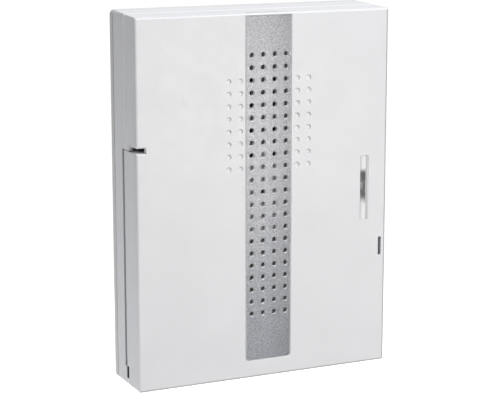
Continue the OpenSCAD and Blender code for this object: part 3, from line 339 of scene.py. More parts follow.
# Painted shade along the front's lower and right rounded edges
to_right, _, to_top = cover.facing()
to_floor = cover.times(to_top, -1)
lower = cover.times(cover.under(z, cover_lo.z + EDGE_W), cover.span(to_floor, *LOWER_FADE, 0, LOWER_SHARE))
right = cover.times(cover.over(x, cover_hi.x - EDGE_W), cover.span(to_right, *RIGHT_FADE))
edge_shade = cover.times(cover.either(lower, right), cover.under(depth, EDGE_DEPTH))
tone = cover.mix(edge_shade, tone, (0.36, 0.36, 0.37))
# Painted shade in the sound bores
bore_shade = cover.times(cover.near(depth, *BORE_DEPTH), cover.near(x, *BORES_X))
cover.color(cover.mix(bore_shade, tone, (0.03, 0.03, 0.031)))
give(cover, "front_cover")

# Housing: painted shade in the groove at the wall plate, a painted highlight along the seam edge, painted shade
# in the lower pin's slot
SEAM_EDGE_Y = (-0.0191, 0.0005)
PIN_SLOT_X = (-0.068, 0.0018)
PIN_SLOT_Z = (-0.0874, 0.0031)
PIN_SLOT_HALF_Y = 0.0011
GROOVE_MIDDLE = 0.00045
GROOVE_HALF = 0.00044
housing = white_satin("housing_satin")
pin_lo, pin_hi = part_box("hinge_pins")
y_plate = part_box("wall_plate")[0].y
x, y, z = housing.xyz()
# Painted highlight along the seam edge
seam_edge_light = housing.near(y, *SEAM_EDGE_Y)
# Painted shade in the lower pin's slot
pin_slot_shade = housing.times(housing.near(y, (pin_lo.y + pin_hi.y) / 2, PIN_SLOT_HALF_Y),
                        housing.near(z, *PIN_SLOT_Z), housing.near(x, *PIN_SLOT_X))
# Painted shade in the groove at the wall plate
groove_shade = housing.near(y, y_plate - GROOVE_MIDDLE, GROOVE_HALF)
tone = housing.mix(seam_edge_light, housing.tone(), PAINTED_LIGHT)
tone = housing.mix(pin_slot_shade, tone, (0.12, 0.12, 0.122))
housing.color(housing.mix(groove_shade, tone, (0.10, 0.10, 0.102)))
give(housing, "rear_housing")
give(moulded("plate_matt", (0.74, 0.74, 0.745), 0.55), "wall_plate")

# Knob with a dark pointer in its groove
POINTER_HALF_W = 0.00056
POINTER_DEPTH = (0.0005, 0.00068)
knob = moulded("knob_white", (0.76, 0.76, 0.76), 0.36)
lo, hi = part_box("volume_knob")
x, y, z = knob.xyz()
pointer = knob.times(knob.near(x, (lo.x + hi.x) / 2, POINTER_HALF_W),
                     knob.between(knob.math("SUBTRACT", y, lo.y), *POINTER_DEPTH))
knob.color(knob.mix(pointer, knob.tone(), (0.03, 0.03, 0.035)))
give(knob, "volume_knob")

# Strip: silver flake paint on the face alone with painted shade towards its right side, bare pale moulding in
# the holes, painted shade at their feet and painted light on the feet in a middle band

FACE_FADE = (0.00003, 0.00012)
FOOT_FADE = (0.0015, 0.0018)
SHADE_FADE = (0.0, 0.0143)
SHADE_SHARE = 0.22
LIT_FEET_Z = (0.003, 0.022)
LIT_FEET_END_X = 0.008
silver = Mat("speckled_silver")
silver.edges(0.0001)
x, y, z = silver.xyz()
depth = silver.math("SUBTRACT", y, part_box("grille_strip")[0].y)
face = silver.span(depth, *FACE_FADE, 1, 0)
deep = silver.span(depth, *FOOT_FADE)
flake = silver.noise(1700, 1.5)
fine = silver.noise(4200, 1)
paint = silver.mottle(flake, (0.141, 0.151, 0.173), (0.264, 0.276, 0.303), 0.34, 0.66)
# Painted shade: the paint darkens towards the strip's right side
shaded = silver.span(x, *SHADE_FADE, 0, SHADE_SHARE)
paint = silver.mix(shaded, paint, (0.02, 0.022, 0.026))
bare = silver.mottle(silver.noise(500, 3), (0.90, 0.90, 0.91), (0.95, 0.95, 0.96))
# Painted shade at the holes' feet
foot = silver.mottle(silver.noise(700, 3), (0.03, 0.03, 0.031), (0.05, 0.05, 0.052))
# Painted light: the feet are lighter in a middle band, left of x = 8 mm
lit_hole_feet = silver.times(silver.near(z, *LIT_FEET_Z), silver.under(x, LIT_FEET_END_X))
foot = silver.mix(lit_hole_feet, foot, (0.17, 0.17, 0.174))
silver.color(silver.mix(face, silver.mix(deep, bare, foot), paint))
silver.drive("Metallic", silver.times(face, 0.85))
silver.rough(silver.blend(face, 0.5, silver.uneven(fine, 0.27, 0.33)))
silver.bump(silver.blend(0.35, flake, fine), 0.9, 0.0001)
give(silver, "grille_strip")

# Clear window: painted light and shade at its ends and right edge, clear between them but for one spot of
# painted light

LIT_LEDGE_UPPER_FADE = (0.0085, 0.0112)
LIT_LEDGE_LOWER_FADE = (-0.0024, -0.0072)
LIT_LEDGE_RIGHT_FADE = (0.66, 0.70)
LOWER_SLANT = 0.5
SPOT_RIGHT_FADE = (0.44, 0.20)
SPOT_LOWER_FADE = (-0.0012, 0.0012)
SPOT_UPPER_FADE = (0.0064, 0.0032)
SPOT_SHARE = 0.42
clear = Mat("clear_acrylic")
clear.set(IOR=1.49)
lo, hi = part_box("light_window")
x, y, z = clear.xyz()
across = clear.span(x, lo.x, hi.x)
slant = clear.times(clear.math("SUBTRACT", x, lo.x), LOWER_SLANT)
spot = clear.times(clear.span(across, *SPOT_RIGHT_FADE), clear.span(z, *SPOT_LOWER_FADE),
                   clear.span(z, *SPOT_UPPER_FADE, 0, SPOT_SHARE))
# Painted light: near-opaque pale tones stand in for the lit ledge seen through the window
ledge_light_mask = clear.either(clear.span(z, *LIT_LEDGE_UPPER_FADE), clear.span(clear.math("ADD", z, slant), *LIT_LEDGE_LOWER_FADE),
                     clear.span(across, *LIT_LEDGE_RIGHT_FADE), spot)
# Pale and grey bands across the window paint the light and shade of its edges
ledge_light_tones = clear.ramp(across, (0.0, (0.50, 0.505, 0.52)), (0.16, (0.80, 0.81, 0.83)), (0.45, (0.92, 0.93, 0.95)),
                  (0.64, (0.88, 0.89, 0.91)), (0.72, (0.64, 0.645, 0.66)), (0.82, (0.46, 0.465, 0.48)),
                  (0.88, (0.55, 0.555, 0.57)), (0.93, (0.86, 0.87, 0.89)))
light_mottle = clear.span(clear.noise(300, 2), 0.35, 0.65, 0, 0.08)
ledge_light_tones = clear.mix(light_mottle, ledge_light_tones, (0.55, 0.56, 0.58))
tint = clear.mottle(clear.noise(420, 2), (0.34, 0.34, 0.345), (0.56, 0.56, 0.565), 0.35, 0.65)
clear.color(clear.mix(ledge_light_mask, tint, ledge_light_tones))
clear.drive("Transmission Weight", clear.blend(ledge_light_mask, 0.86, 0.10))
clear.rough(clear.uneven(clear.noise(500, 2), 0.10, 0.16))
give(clear, "light_window")
nodes["light_window"].visible_shadow = False

# Metals

give(metal("zinc_screw", (0.60, 0.61, 0.63)), "housing_screws", "board_screws", "speaker_screws")
give(metal("blued_pin", (0.05, 0.051, 0.055)), "hinge_pins")
give(metal("pressed_steel", (0.50, 0.50, 0.48), 0.4, 0.8), "speaker_frame")
give(metal("tinned_brass", (0.70, 0.58, 0.33), 0.3), "battery_contacts", "terminal_screws")
nickel = metal("nickel_wire", (0.64, 0.64, 0.65), 0.22)
tin = metal("solder_tin", (0.66, 0.66, 0.67), 0.24, 0.8, grain=1500, depth=0.00002)

# Circuit board and what stands on it

board = Mat("solder_mask")
board.edges(0.00015)
board.color(board.mottle(board.noise(90, 5), (0.008, 0.085, 0.038), (0.013, 0.12, 0.052), 0.35, 0.65))
board.rough(board.uneven(board.noise(300, 3), 0.22, 0.36))
board.bump(board.noise(1500, 2), 0.3, 0.00001)
give(board, "circuit_board")

BLACK = (0.016, 0.016, 0.018)
give(moulded("terminal_green", (0.02, 0.15, 0.08), 0.45, 0.06), "terminal_block")
give(moulded("black_moulding", BLACK, 0.5, 0.25, 1800, 0.00002), "rectifier", "button_switch")

# Chip with tinned legs beyond its package
PACKAGE_HALF = 0.00322
chip = moulded("chip_package", BLACK, 0.55, 0.25, 1600, 0.00002, 0.0001)
lo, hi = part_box("sound_chip")
x, y, z = chip.xyz()
leg = chip.over(chip.math("ABSOLUTE", chip.math("SUBTRACT", z, (lo.z + hi.z) / 2)), PACKAGE_HALF)
chip.color(chip.mix(leg, chip.tone(), (0.62, 0.62, 0.62)))
chip.drive("Metallic", leg)
chip.rough(chip.blend(leg, 0.55, 0.28))
give(chip, "sound_chip")

# Capacitors in a row: bare lid, dark sleeve, pale stripe with dark bars
LID_R = 0.0033
LID_DEPTH = 0.0003
STRIPE_FROM = 0.0017
STRIPE_HALF = 0.0022
BAR_WAVE = 2100
BAR_CUT = 0.55
cap = Mat("capacitor_sleeve")
cap.edges(0.0002)
lo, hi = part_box("capacitors")
x, y, z = cap.xyz()
can_w = hi.z - lo.z
pitch = (hi.x - lo.x - can_w) / 2
u = cap.math("WRAP", cap.math("SUBTRACT", x, (lo.x + hi.x) / 2), pitch / 2, -pitch / 2)
v = cap.math("SUBTRACT", z, (lo.z + hi.z) / 2)
lid = cap.times(cap.under(y, lo.y + LID_DEPTH), cap.under(cap.radius(u, v), LID_R))
stripe = cap.times(cap.over(u, STRIPE_FROM), cap.under(cap.math("ABSOLUTE", v), STRIPE_HALF))
bars = cap.times(stripe, cap.over(cap.math("SINE", cap.times(y, BAR_WAVE)), BAR_CUT))
sleeve = cap.mottle(cap.noise(120, 4), (0.014, 0.02, 0.06), (0.022, 0.032, 0.085))
sleeve = cap.mix(stripe, sleeve, (0.36, 0.40, 0.50))
sleeve = cap.mix(bars, sleeve, (0.02, 0.03, 0.07))
cap.color(cap.mix(lid, sleeve, (0.60, 0.60, 0.61)))
cap.drive("Metallic", lid)
cap.rough(cap.blend(lid, cap.uneven(cap.noise(300, 3), 0.2, 0.32), 0.36))
cap.bump(cap.noise(700, 3), 0.25, 0.00002)
give(cap, "capacitors")

led = moulded("led_epoxy", (0.80, 0.81, 0.74), 0.2, 0.03)
led.set(Subsurface_Weight=0.35, Subsurface_Scale=0.002)
give(led, "signal_led")
give(moulded("natural_nylon", (0.70, 0.67, 0.55), 0.5, 0.05), "lead_sockets")
give(moulded("pot_blue", (0.03, 0.075, 0.2), 0.45, 0.1), "volume_pot")
give(moulded("button_red", (0.42, 0.03, 0.02), 0.3, 0.08), "melody_button")
give(moulded("grommet_rubber", (0.02, 0.02, 0.02), 0.65, 0.25, 1500, 0.00003), "cable_grommet")

# Loudspeaker: pressed paper cone with a cloth surround and a dust cap, ferrite magnet with a steel yoke

SURROUND = (0.0208, 0.0236)
DUST_CAP_R = 0.0065
RING_WAVE = 4200
YOKE_T = 0.002
spk_lo, spk_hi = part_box("speaker_frame")
spk_x = (spk_lo.x + spk_hi.x) / 2
cone_lo, cone_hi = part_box("speaker_cone")
spk_z = (cone_lo.z + cone_hi.z) / 2

paper = Mat("cone_paper")
x, y, z = paper.xyz()
r = paper.radius(paper.math("SUBTRACT", x, spk_x), paper.math("SUBTRACT", z, spk_z))
pulp = paper.mottle(paper.noise(420, 5, 0.7), (0.022, 0.022, 0.021), (0.05, 0.049, 0.046))
cloth = paper.between(r, *SURROUND)
pulp = paper.mix(cloth, pulp, (0.012, 0.012, 0.013))
paper.color(paper.mix(paper.under(r, DUST_CAP_R), pulp, (0.018, 0.018, 0.02)))
paper.rough(paper.blend(cloth, 0.85, 0.5))
pressed = paper.times(paper.math("SINE", paper.times(r, RING_WAVE)), 0.35)
paper.bump(paper.math("ADD", paper.noise(900, 4, 0.7), pressed), 0.6, 0.00012)
give(paper, "speaker_cone")

ferrite = moulded("ferrite", (0.04, 0.04, 0.044), 0.62, 0.3, 1200, 0.00003)
lo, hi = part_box("speaker_magnet")
x, y, z = ferrite.xyz()
yoke = ferrite.over(y, hi.y - YOKE_T)
ferrite.color(ferrite.mix(yoke, ferrite.tone(), (0.52, 0.50, 0.44)))
ferrite.drive("Metallic", yoke)
ferrite.rough(ferrite.blend(yoke, 0.62, 0.34))
give(ferrite, "speaker_magnet")

# Cells: plain sleeve with one pale band, bare steel at both ends, the two rows turned opposite ways

CELL_L = 0.0506
SLEEVE = (0.00145, 0.0500)
BAND = (0.0065, 0.0135)
cell = Mat("cell_sleeve")
cell.edges(0.0002)
lo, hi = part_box("battery_cells")
x, y, z = cell.xyz()
upper = cell.over(z, (lo.z + hi.z) / 2)
from_nub = cell.blend(upper, cell.math("WRAP", cell.math("SUBTRACT", x, lo.x), CELL_L, 0),
                      cell.math("WRAP", cell.math("SUBTRACT", hi.x, x), CELL_L, 0))
steel_end = cell.either(cell.under(from_nub, SLEEVE[0]), cell.over(from_nub, SLEEVE[1]))
film = cell.mottle(cell.noise(90, 4), (0.018, 0.022, 0.03), (0.026, 0.031, 0.042))
film = cell.mix(cell.between(from_nub, *BAND), film, (0.20, 0.27, 0.36))
cell.color(cell.mix(steel_end, film, (0.56, 0.56, 0.57)))
cell.drive("Metallic", steel_end)
cell.rough(cell.blend(steel_end, cell.uneven(cell.noise(260, 3), 0.22, 0.34), 0.3))
cell.bump(cell.noise(500, 3), 0.25, 0.00002)
give(cell, "battery_cells")


# Pieces that stand for the soft and wound solids, and small parts that only the scene has

def piece(name, data, mats):
    """Puts a mesh or curve on the base body."""
    o = bpy.data.objects.new(name, data)
    scene.collection.objects.link(o)
    for m in mats:
        data.materials.append(m.mat)
    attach(o, "base")
    return o


def wires(name, lines, r, m, closed=False):
    """Round wires through lists of points in metres."""
    c = bpy.data.curves.new(name, "CURVE")
    c.dimensions = "3D"
    c.bevel_depth = r
    c.bevel_resolution = 5
    c.use_fill_caps = True
    for line in lines:
        spline = c.splines.new("POLY")
        spline.points.add(len(line) - 1)
        for p, co in zip(spline.points, line):
            p.co = (*co, 1)
        spline.use_cyclic_u = closed
    return piece(name, c, [m])


def smooth_line(places, steps):
    """Points on a smooth line through a few places."""
    p = [Vector(q) for q in places]
    out = []
    for i in range(len(p) - 1):
        a, b, c, d = p[max(i - 1, 0)], p[i], p[i + 1], p[min(i + 2, len(p) - 1)]
        for k in range(steps):
            t = k / steps
            out.append(0.5 * (2 * b + (c - a) * t + (2 * a - 5 * b + 4 * c - d) * t ** 2
                              + (3 * b - a - 3 * c + d) * t ** 3))
    return out + [p[-1]]


def skin(bm, rings, closed=False, index=0):
    """Joins rings of vertices, of which the first and last may be single points."""
    pairs = list(zip(rings, rings[1:]))
    if closed:
        pairs.append((rings[-1], rings[0]))
    for a, b in pairs:
        for k in range(max(len(a), len(b))):
            quad = [a[k % len(a)], a[(k + 1) % len(a)], b[(k + 1) % len(b)], b[k % len(b)]]
            corners = list(dict.fromkeys(quad))
            if len(corners) > 2:
                bm.faces.new(corners).material_index = index


SPIN = {
    "X": lambda c, s, h: Vector((h, c, s)),
    "Y": lambda c, s, h: Vector((c, h, s)),
    "Z": lambda c, s, h: Vector((c, s, h)),
}


def lathe(bm, profile, centre, axis="Y", steps=24, index=0):
    """Turns (radius, height) pairs about an axis; a profile that starts off the axis closes on itself."""
    rings = []
    for radius, height in profile:
        ring = []
        for k in range(steps if radius > 0 else 1):
            a = TURN * k / steps
            spoke = SPIN[axis](radius * math.cos(a), radius * math.sin(a), height)
            ring.append(bm.verts.new(Vector(centre) + spoke))
        rings.append(ring)
    skin(bm, rings, profile[0][0] > 0, index)


def mesh_of(name, bm):
    """Mesh with smooth faces and sharp edges."""
    bmesh.ops.recalc_face_normals(bm, faces=bm.faces)
    mesh = bpy.data.meshes.new(name)
    bm.to_mesh(mesh)
    bm.free()
    mesh.shade_smooth()
    mesh.set_sharp_from_angle(angle=math.radians(40))
    return mesh


# Foam ring on the loudspeaker, crowned and slightly uneven

FOAM_INNER_R = 0.0262
SECTION_STEPS = 20
SIDE_POWER = 0.45
CROWN_POWER = 0.5
DENT = 0.00012
DENT_SCALE = 260
foam = Mat("foam")
foam.set(Roughness=0.95)
pores = foam.cells(1500)
foam.color(foam.ramp(pores, (0.1, (0.006, 0.006, 0.006)), (0.55, (0.03, 0.03, 0.032))))
foam.bump(pores, 0.9, 0.0002)
g_lo, g_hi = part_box("speaker_gasket")
foam_outer_r = (g_hi.x - g_lo.x) / 2
mid_r = (foam_outer_r + FOAM_INNER_R) / 2
half_r = (foam_outer_r - FOAM_INNER_R) / 2
mid_y = (g_lo.y + g_hi.y) / 2
half_y = (g_hi.y - g_lo.y) / 2
section = []
for k in range(SECTION_STEPS):
    a = TURN * k / SECTION_STEPS
    c = math.cos(a)
    s = math.sin(a)
    section.append((mid_r + half_r * math.copysign(abs(c) ** SIDE_POWER, c),
                    mid_y + half_y * math.copysign(abs(s) ** CROWN_POWER, s)))
bm = bmesh.new()
lathe(bm, section, (spk_x, 0, spk_z), steps=144)
for vert in bm.verts:
    if vert.co.y < mid_y:
        vert.co.y += DENT * (1 + noise.noise(vert.co * DENT_SCALE))
gasket = piece("foam_ring", mesh_of("foam_ring", bm), [foam])
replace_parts(gasket, "speaker_gasket")

# Conical battery springs with flattened end turns

WIRE_R = 0.0004
TURNS = 5
AROUND = 40
BIG_R = 0.0052
SMALL_R = 0.003
SPRING_L = 0.0094
FLATTEN = 0.065
s_lo, s_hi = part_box("battery_springs")
c_lo, c_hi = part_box("battery_cells")
cell_y = (c_lo.y + c_hi.y) / 2
cell_r = (c_hi.y - c_lo.y) / 2
rows = (c_hi.z - cell_r, c_lo.z + cell_r)
coils = []
for sense, row_z in zip((1, -1), rows):
    start = s_lo.x + WIRE_R if sense > 0 else s_hi.x - WIRE_R
    coil = []
    for k in range(TURNS * AROUND + 1):
        f = k / (TURNS * AROUND)
        rise = (f - FLATTEN * math.sin(TURN * f)) * (SPRING_L - 2 * WIRE_R)
        a = TURN * TURNS * f
        r = BIG_R + (SMALL_R - BIG_R) * f
        coil.append((start + sense * rise, cell_y + r * math.cos(a), row_z + r * math.sin(a)))
    coils.append(coil)
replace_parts(wires("spring_coils", coils, WIRE_R, nickel), "battery_springs")

# Leads: the routes of the solids with some slack, and solder where they end

LEAD_R = 0.0006
LEAD_GAP = 0.00125
PIN_INSET = 0.0025
SOCKET_HALF_X = 0.003
NECK = 0.0003
TAG_DROP = 0.0145
DROP = [(0, -0.0011), (0.0005, -0.001), (0.0009, -0.0006), (0.0011, 0), (0.0009, 0.0004), (0, 0.0006)]
red = moulded("red_insulation", (0.34, 0.014, 0.012), 0.36, 0.1, 1800, 0.00001)
black = moulded("black_insulation", (0.014, 0.014, 0.015), 0.42, 0.2, 1800, 0.00001)
solder = bmesh.new()
sock_lo, sock_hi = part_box("lead_sockets")
y_socket = sock_lo.y


def lead(name, pin_x, pin_z, straight, rest, m, axis, sense):
    """One lead: straight out of its socket, then on to its solder joint."""
    out = [Vector((pin_x, y_socket - d, pin_z)) for d in (0, NECK, straight)]
    line = out[:1] + smooth_line(out[1:] + rest, steps=10)
    o = wires(name, [line], LEAD_R, m)
    lathe(solder, [(r, sense * h) for r, h in DROP], line[-1], axis, steps=16)
    return o


tag_y = spk_hi.y + LEAD_R
tag_z = spk_z - TAG_DROP
pin_z = sock_hi.z - PIN_INSET
for side, m, slot in ((-1, black, "black_rubber"), (1, red, "red_insulation")):
    pin_x = spk_x + side * LEAD_GAP
    rest = [
        (pin_x + side * 0.0035, y_socket - 0.0048, pin_z + 0.001),
        (pin_x + side * 0.0085, y_socket - 0.0042, pin_z + 0.0075),
        (pin_x + side * 0.0075, tag_y - 0.001, pin_z + 0.0145),
        (pin_x + side * 0.0035, tag_y, tag_z - 0.0035),
        (pin_x + side * 0.003, tag_y, tag_z - 0.001),
    ]
    o = lead("speaker_lead_" + slot.split("_")[0], pin_x, pin_z, 0.0022, rest, m, "Y", -1)
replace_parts(o, "speaker_leads")

tray_lo, tray_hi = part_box("battery_tray")
x_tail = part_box("battery_contacts")[0].x - LEAD_R
y_low = tray_lo.y + 0.003
tray_top = tray_hi.z - 0.0015
pin_z = sock_lo.z + PIN_INSET
for i, (m, slot) in enumerate(((red, "red_insulation"), (black, "black_rubber"))):
    pin_x = sock_lo.x + SOCKET_HALF_X + (0.5 - i) * 2 * LEAD_GAP
    drop_x = x_tail - 0.0022 * i
    rest = [
        (pin_x - 0.003, y_socket - 0.0024, pin_z - 0.005),
        (drop_x + 0.0015, y_low - 0.0004, tray_top + 0.008),
        (drop_x, y_low, tray_top + 0.003),
        (drop_x, y_low, rows[i] + 0.006),
        (x_tail, y_low, rows[i] - 0.001),
    ]
    o = lead("battery_lead_" + slot.split("_")[0], pin_x, pin_z, 0.0018, rest, m, "X", 1)
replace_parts(o, "battery_leads")

# Small parts on the board: places (x, z), profiles (radius, height) and lengths in millimetres

RESISTORS = [(-14, -5.5, "X"), (-2, -5.5, "X"), (10, -5.5, "X"), (8, -14, "Z"), (8, -27, "Z"), (12.5, -27, "Z")]
RESISTOR = [(0, -3.15), (0.8, -3.1), (1.1, -2.8), (1.15, -2.4), (1.1, -1.9), (0.95, -1.5),
            (0.95, 1.5), (1.1, 1.9), (1.15, 2.4), (1.1, 2.8), (0.8, 3.1), (0, 3.15)]
RESISTOR_SPAN = 5
WAIST_HALF = 2
LEG_ROOT = 0.3
LEG_BEND = 0.5
BAND_COLOURS = {
    "brown": (0.09, 0.03, 0.012),
    "red": (0.40, 0.02, 0.015),
    "orange": (0.55, 0.16, 0.02),
    "gold": (0.42, 0.29, 0.07),
}
BAND_AT = (-2.4, -0.9, 0.1, 2.4)
BAND_R_END = 1.17
BAND_R_WAIST = 0.97
BAND_T = 0.2
BAND_HALF = 0.3
GOLD = 4
DIODES = [(-33, -12, "X"), (-33, -16, "X")]
DIODE = [(0, -2.1), (0.9, -2.1), (1, -2), (1, 2), (0.9, 2.1), (0, 2.1)]
DIODE_BAND = [(0.8, 1.1), (1.02, 1.1), (1.02, 1.6), (0.8, 1.6)]
DIODE_SPAN = 4
DISCS = [(34, -8), (34, -30), (48, -30)]
DISC = [(0, -0.85), (1.6, -0.8), (2.7, -0.55), (3.1, 0), (2.7, 0.55), (1.6, 0.8), (0, 0.85)]
DISC_LEG = 1.6
CRYSTAL_X = 22
CRYSTAL_Z = -35
CRYSTAL_R = 2.2
CRYSTAL_HALF = 3.2
CRYSTAL_STEPS = 32
CRYSTAL_RIMS = [(0, 0.2), (0, 0.5), (0.35, 0.55), (0.35, 3.2), (0.5, 3.4), (0.8, 3.5)]
FILLET = [(0, -0.3), (0.45, -0.25), (0.75, -0.04), (0.8, 0.1), (0, 0.1)]
# Heights over the board, depths towards it and the legs' radius, in metres
AXIAL_LIFT = 0.0013
DISC_LIFT = 0.0042
DISC_LEG_TOP = 0.0025
LEG_R = 0.0003
LEG_BEND_Y = 0.0004
LEG_DEPTH = 0.0005
beige = moulded("resistor_body", (0.55, 0.42, 0.25), 0.4, 0.06)
bands = [moulded("band_" + n, c, 0.4, 0.1) for n, c in BAND_COLOURS.items()]
glass = moulded("diode_body", (0.018, 0.018, 0.02), 0.3, 0.2)
pale = moulded("diode_band", (0.55, 0.55, 0.56), 0.35, 0.05)
ceramic = moulded("disc_ceramic", (0.45, 0.22, 0.06), 0.38, 0.1)
y_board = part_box("circuit_board")[0].y
legs = []
holes = []


def scaled(profile):
    return [(r * MM, h * MM) for r, h in profile]


def axial(bm, profile, x, z, axis, half_span):
    """A body lying on the board, with its two bent legs."""
    centre = Vector((x * MM, y_board - AXIAL_LIFT, z * MM))
    lathe(bm, scaled(profile), centre, axis, steps=20)
    along = Vector((1, 0, 0) if axis == "X" else (0, 0, 1)) * MM
    root = profile[-1][1] - LEG_ROOT
    for sense in (-1, 1):
        end = centre + along * sense * half_span
        legs.append([centre + along * sense * root, end - along * sense * LEG_BEND,
                     end + Vector((0, LEG_BEND_Y, 0)), Vector((end.x, y_board + LEG_DEPTH, end.z))])
        holes.append(end)
    return centre


bm = bmesh.new()
for n, (x, z, axis) in enumerate(RESISTORS):
    centre = axial(bm, RESISTOR, x, z, axis, RESISTOR_SPAN)
    for k, h in enumerate(BAND_AT):
        r = BAND_R_END if abs(h) > WAIST_HALF else BAND_R_WAIST
        low = h - BAND_HALF
        high = h + BAND_HALF
        hoop = [(r - BAND_T, low), (r, low), (r, high), (r - BAND_T, high)]
        last = k == len(BAND_AT) - 1
        lathe(bm, scaled(hoop), centre, axis, steps=20, index=GOLD if last else 1 + (n + k) % (GOLD - 1))
piece("resistors", mesh_of("resistors", bm), [beige] + bands)

bm = bmesh.new()
for x, z, axis in DIODES:
    centre = axial(bm, DIODE, x, z, axis, DIODE_SPAN)
    lathe(bm, scaled(DIODE_BAND), centre, axis, steps=20, index=1)
piece("diodes", mesh_of("diodes", bm), [glass, pale])

bm = bmesh.new()
for x, z in DISCS:
    lathe(bm, scaled(DISC), (x * MM, y_board - DISC_LIFT, z * MM), "Z", steps=28)
    for sense in (-1, 1):
        foot = Vector(((x + sense * DISC_LEG) * MM, y_board + LEG_DEPTH, z * MM))
        legs.append([Vector((foot.x, y_board - DISC_LEG_TOP, foot.z)), foot])
        holes.append(foot)
piece("disc_capacitors", mesh_of("disc_capacitors", bm), [ceramic])

bm = bmesh.new()
rings = []
for inset, height in CRYSTAL_RIMS:
    ring = []
    for k in range(CRYSTAL_STEPS):
        a = TURN * (k + 0.5) / CRYSTAL_STEPS
        r = CRYSTAL_R - inset
        x = CRYSTAL_X + math.copysign(CRYSTAL_HALF, math.cos(a)) + r * math.cos(a)
        z = CRYSTAL_Z + r * math.sin(a)
        ring.append(bm.verts.new((x * MM, y_board - height * MM, z * MM)))
    rings.append(ring)
skin(bm, rings)
bm.faces.new(rings[-1])
bm.faces.new(rings[0])
piece("crystal_can", mesh_of("crystal_can", bm), [nickel])

wires("part_legs", legs, LEG_R, tin)
for p in holes:
    lathe(solder, scaled(FILLET), (p.x, y_board, p.z), steps=14)
piece("solder_joints", mesh_of("solder_joints", solder), [tin])

# Copper under the solder mask and printed outlines, both mostly sunk in the board
# Places and sizes on the board are in millimetres, radii and depths of the lines in metres

TRACKS = [
    [(-43.5, -4), (-43.5, -9), (-45, -11), (-45, -14)], [(-38.5, -4), (-38.5, -11), (-40, -13)],
    [(-33.5, -4), (-33.5, -8), (-37, -12)], [(-28.5, -4), (-28.5, -11), (-29, -12)],
    [(-29, -16), (-26, -19), (-26, -27)], [(-39, -21), (-33, -27), (-29, -30)],
    [(-21, -35), (-18, -35)], [(-10, -35), (-7, -35)], [(1, -35), (6, -34), (8, -32)],
    [(-19, -10), (-19, -5.5)], [(-9, -5.5), (-7, -5.5)], [(3, -5.5), (5, -5.5)],
    [(-9, -18), (-9, -21), (6, -21), (8, -19)], [(-6, -10), (-1, -10), (3, -9), (8, -9)],
    [(-16, -18), (-16, -23), (-20, -27)], [(15, -5.5), (19, -9), (19, -13)],
    [(8, -22), (12.5, -22), (18, -19)], [(29, -17), (34, -12), (34, -9.5)],
    [(38.5, -17), (31, -24), (31, -28), (32.4, -30)], [(35.6, -30), (46.4, -30)],
    [(49.6, -30), (53, -27), (53, -4), (55, -2)], [(43, -13), (43, -6), (40, -3), (20, -3)],
    [(0.6, -1), (0.6, -3), (-4, -8), (-4, -10)], [(3, -1), (3, -3), (14, -3)],
    [(-43, -34), (-38, -39), (-24, -39), (-21, -36)],
    [(-47, -34), (-40, -41), (10, -41), (16, -36), (18, -35)],
]
TRACK_R = 0.0006
TRACK_SUNK = 0.00054
# Boxes are (x, z, width, height) and rounds are (x, z, radius)
BOXES = [(-14, -14, 22, 10), (-36, 1, 22, 9.4), (43, -17, 9, 9), (24, -17, 12, 12), (22, -35, 12.6, 6),
         (-45, -31, 9, 7)]
BOXES += [(x, z, 7, 3.2) if axis == "X" else (x, z, 3.2, 7) for x, z, axis in RESISTORS]
ROUNDS = [(-25, -31, 4.8), (-14, -31, 4.8), (-3, -31, 4.8), (-42, -18, 5.2)]
ROUND_STEPS = 48
INK_R = 0.00025
INK_SUNK = 0.00022


def on_board(points, sunk):
    return [(x * MM, y_board + sunk, z * MM) for x, z in points]


copper = moulded("masked_copper", (0.05, 0.27, 0.12), 0.3, 0.08)
ink = moulded("board_ink", (0.62, 0.63, 0.60), 0.6, 0.05)
wires("board_tracks", [on_board(t, TRACK_SUNK) for t in TRACKS], TRACK_R, copper)
outlines = []
for x, z, w, h in BOXES:
    outlines.append([(x + u * w / 2, z + v * h / 2) for u, v in ((-1, -1), (1, -1), (1, 1), (-1, 1))])
for x, z, r in ROUNDS:
    angles = [TURN * k / ROUND_STEPS for k in range(ROUND_STEPS)]
    outlines.append([(x + r * math.cos(a), z + r * math.sin(a)) for a in angles])
wires("board_outlines", [on_board(t, INK_SUNK) for t in outlines], INK_R, ink, closed=True)

# Floor: its white shows to the camera and in shiny and clear surfaces, and near the part it keeps a shadow

FLOOR_Z = -0.30
FLOOR_HALF = 14
NEAR_R = 0.42
NEAR_WHITE = 0.45
FAR_R = 0.62
FAR_WHITE = 0.72
mesh = bpy.data.meshes.new("floor")
bm = bmesh.new()
bmesh.ops.create_grid(bm, x_segments=8, y_segments=8, size=FLOOR_HALF)
bm.to_mesh(mesh)
bm.free()
floor = bpy.data.objects.new("floor", mesh)
floor.location = (0, 0, FLOOR_Z)
scene.collection.objects.link(floor)
ground = Mat("floor_white")
ground.color(ground.mottle(ground.noise(3, 2), (0.52, 0.52, 0.52), (0.54, 0.54, 0.54)))
ground.set(Roughness=0.9, Emission_Color=(1, 1, 1, 1))
x, y, z = ground.xyz()
glow = ground.span(ground.radius(x, y), NEAR_R, FAR_R, NEAR_WHITE, FAR_WHITE)
ground.drive("Emission Strength", ground.times(ground.seen_rays(), glow))
mesh.materials.append(ground.mat)

# Room: brighter above than at its left and right, and white where it is seen

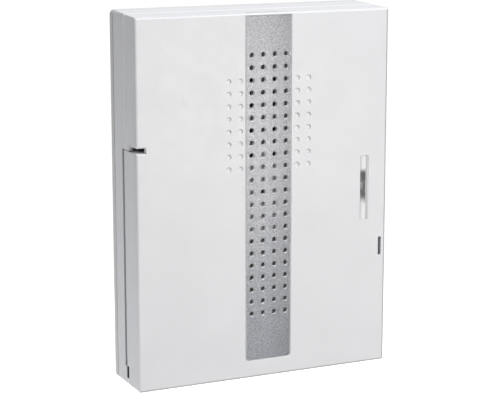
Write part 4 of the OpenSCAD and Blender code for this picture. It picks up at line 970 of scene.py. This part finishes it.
SIDES = (-0.84, 0, 0)
RISE = (0.08, -0.12, 0.75)
ROOM_LEVEL = 0.40
world = bpy.data.worlds.new("studio")
scene.world = world
world.use_nodes = True
room = Nodes(world.node_tree)
sky = world.node_tree.nodes["Background"]
sky.inputs["Color"].default_value = (1, 1, 1, 1)
way = room.add("ShaderNodeTexCoord").outputs["Generated"]
aside = room.add("ShaderNodeVectorMath", operation="ABSOLUTE")
room.link(way, aside.inputs[0])
level = room.math("ADD", room.dot(aside.outputs["Vector"], SIDES), room.dot(way, RISE))
level = room.math("ADD", level, ROOM_LEVEL, clamp=True)
room.link(room.blend(room.seen_rays(), level, 1.0), sky.inputs["Strength"])


# Lamps

def lamp(name, place, target, size, power, tint=(1, 1, 1)):
    data = bpy.data.lights.new(name, "AREA")
    data.size = size
    data.energy = power
    data.color = tint
    o = bpy.data.objects.new(name, data)
    o.location = place
    o.rotation_euler = (Vector(target) - Vector(place)).to_track_quat("-Z", "Y").to_euler()
    scene.collection.objects.link(o)


lamp("key", place=(0.42, -0.74, 0.88), target=(0, 0, 0), size=0.5, power=8.75)
lamp("strip_glint", place=(0.345, -0.92, -0.085), target=(0, 0, 0.02), size=0.16, power=1.27,
     tint=(1.0, 0.92, 0.80))
lamp("back", place=(0.30, 0.95, 0.02), target=(0, 0, 0), size=0.15, power=1.6)
lamp("low_left", place=(-0.31, -0.005, -0.225), target=(-0.07, -0.015, -0.03), size=0.10, power=0.28)

# Camera, fitted to the corners of the box in the photo

yaw = math.radians(24.96)
pitch = math.radians(11.56)
cam_data = bpy.data.cameras.new("camera")
cam_data.sensor_width = 36
cam_data.lens = 118.07
cam_data.clip_start = 0.01
cam = bpy.data.objects.new("camera", cam_data)
cam.location = (-0.3516, -0.7705, 0.1660)
look = Vector((math.sin(yaw) * math.cos(pitch), math.cos(yaw) * math.cos(pitch), -math.sin(pitch)))
cam.rotation_euler = look.to_track_quat("-Z", "Y").to_euler()
scene.collection.objects.link(cam)
scene.camera = cam
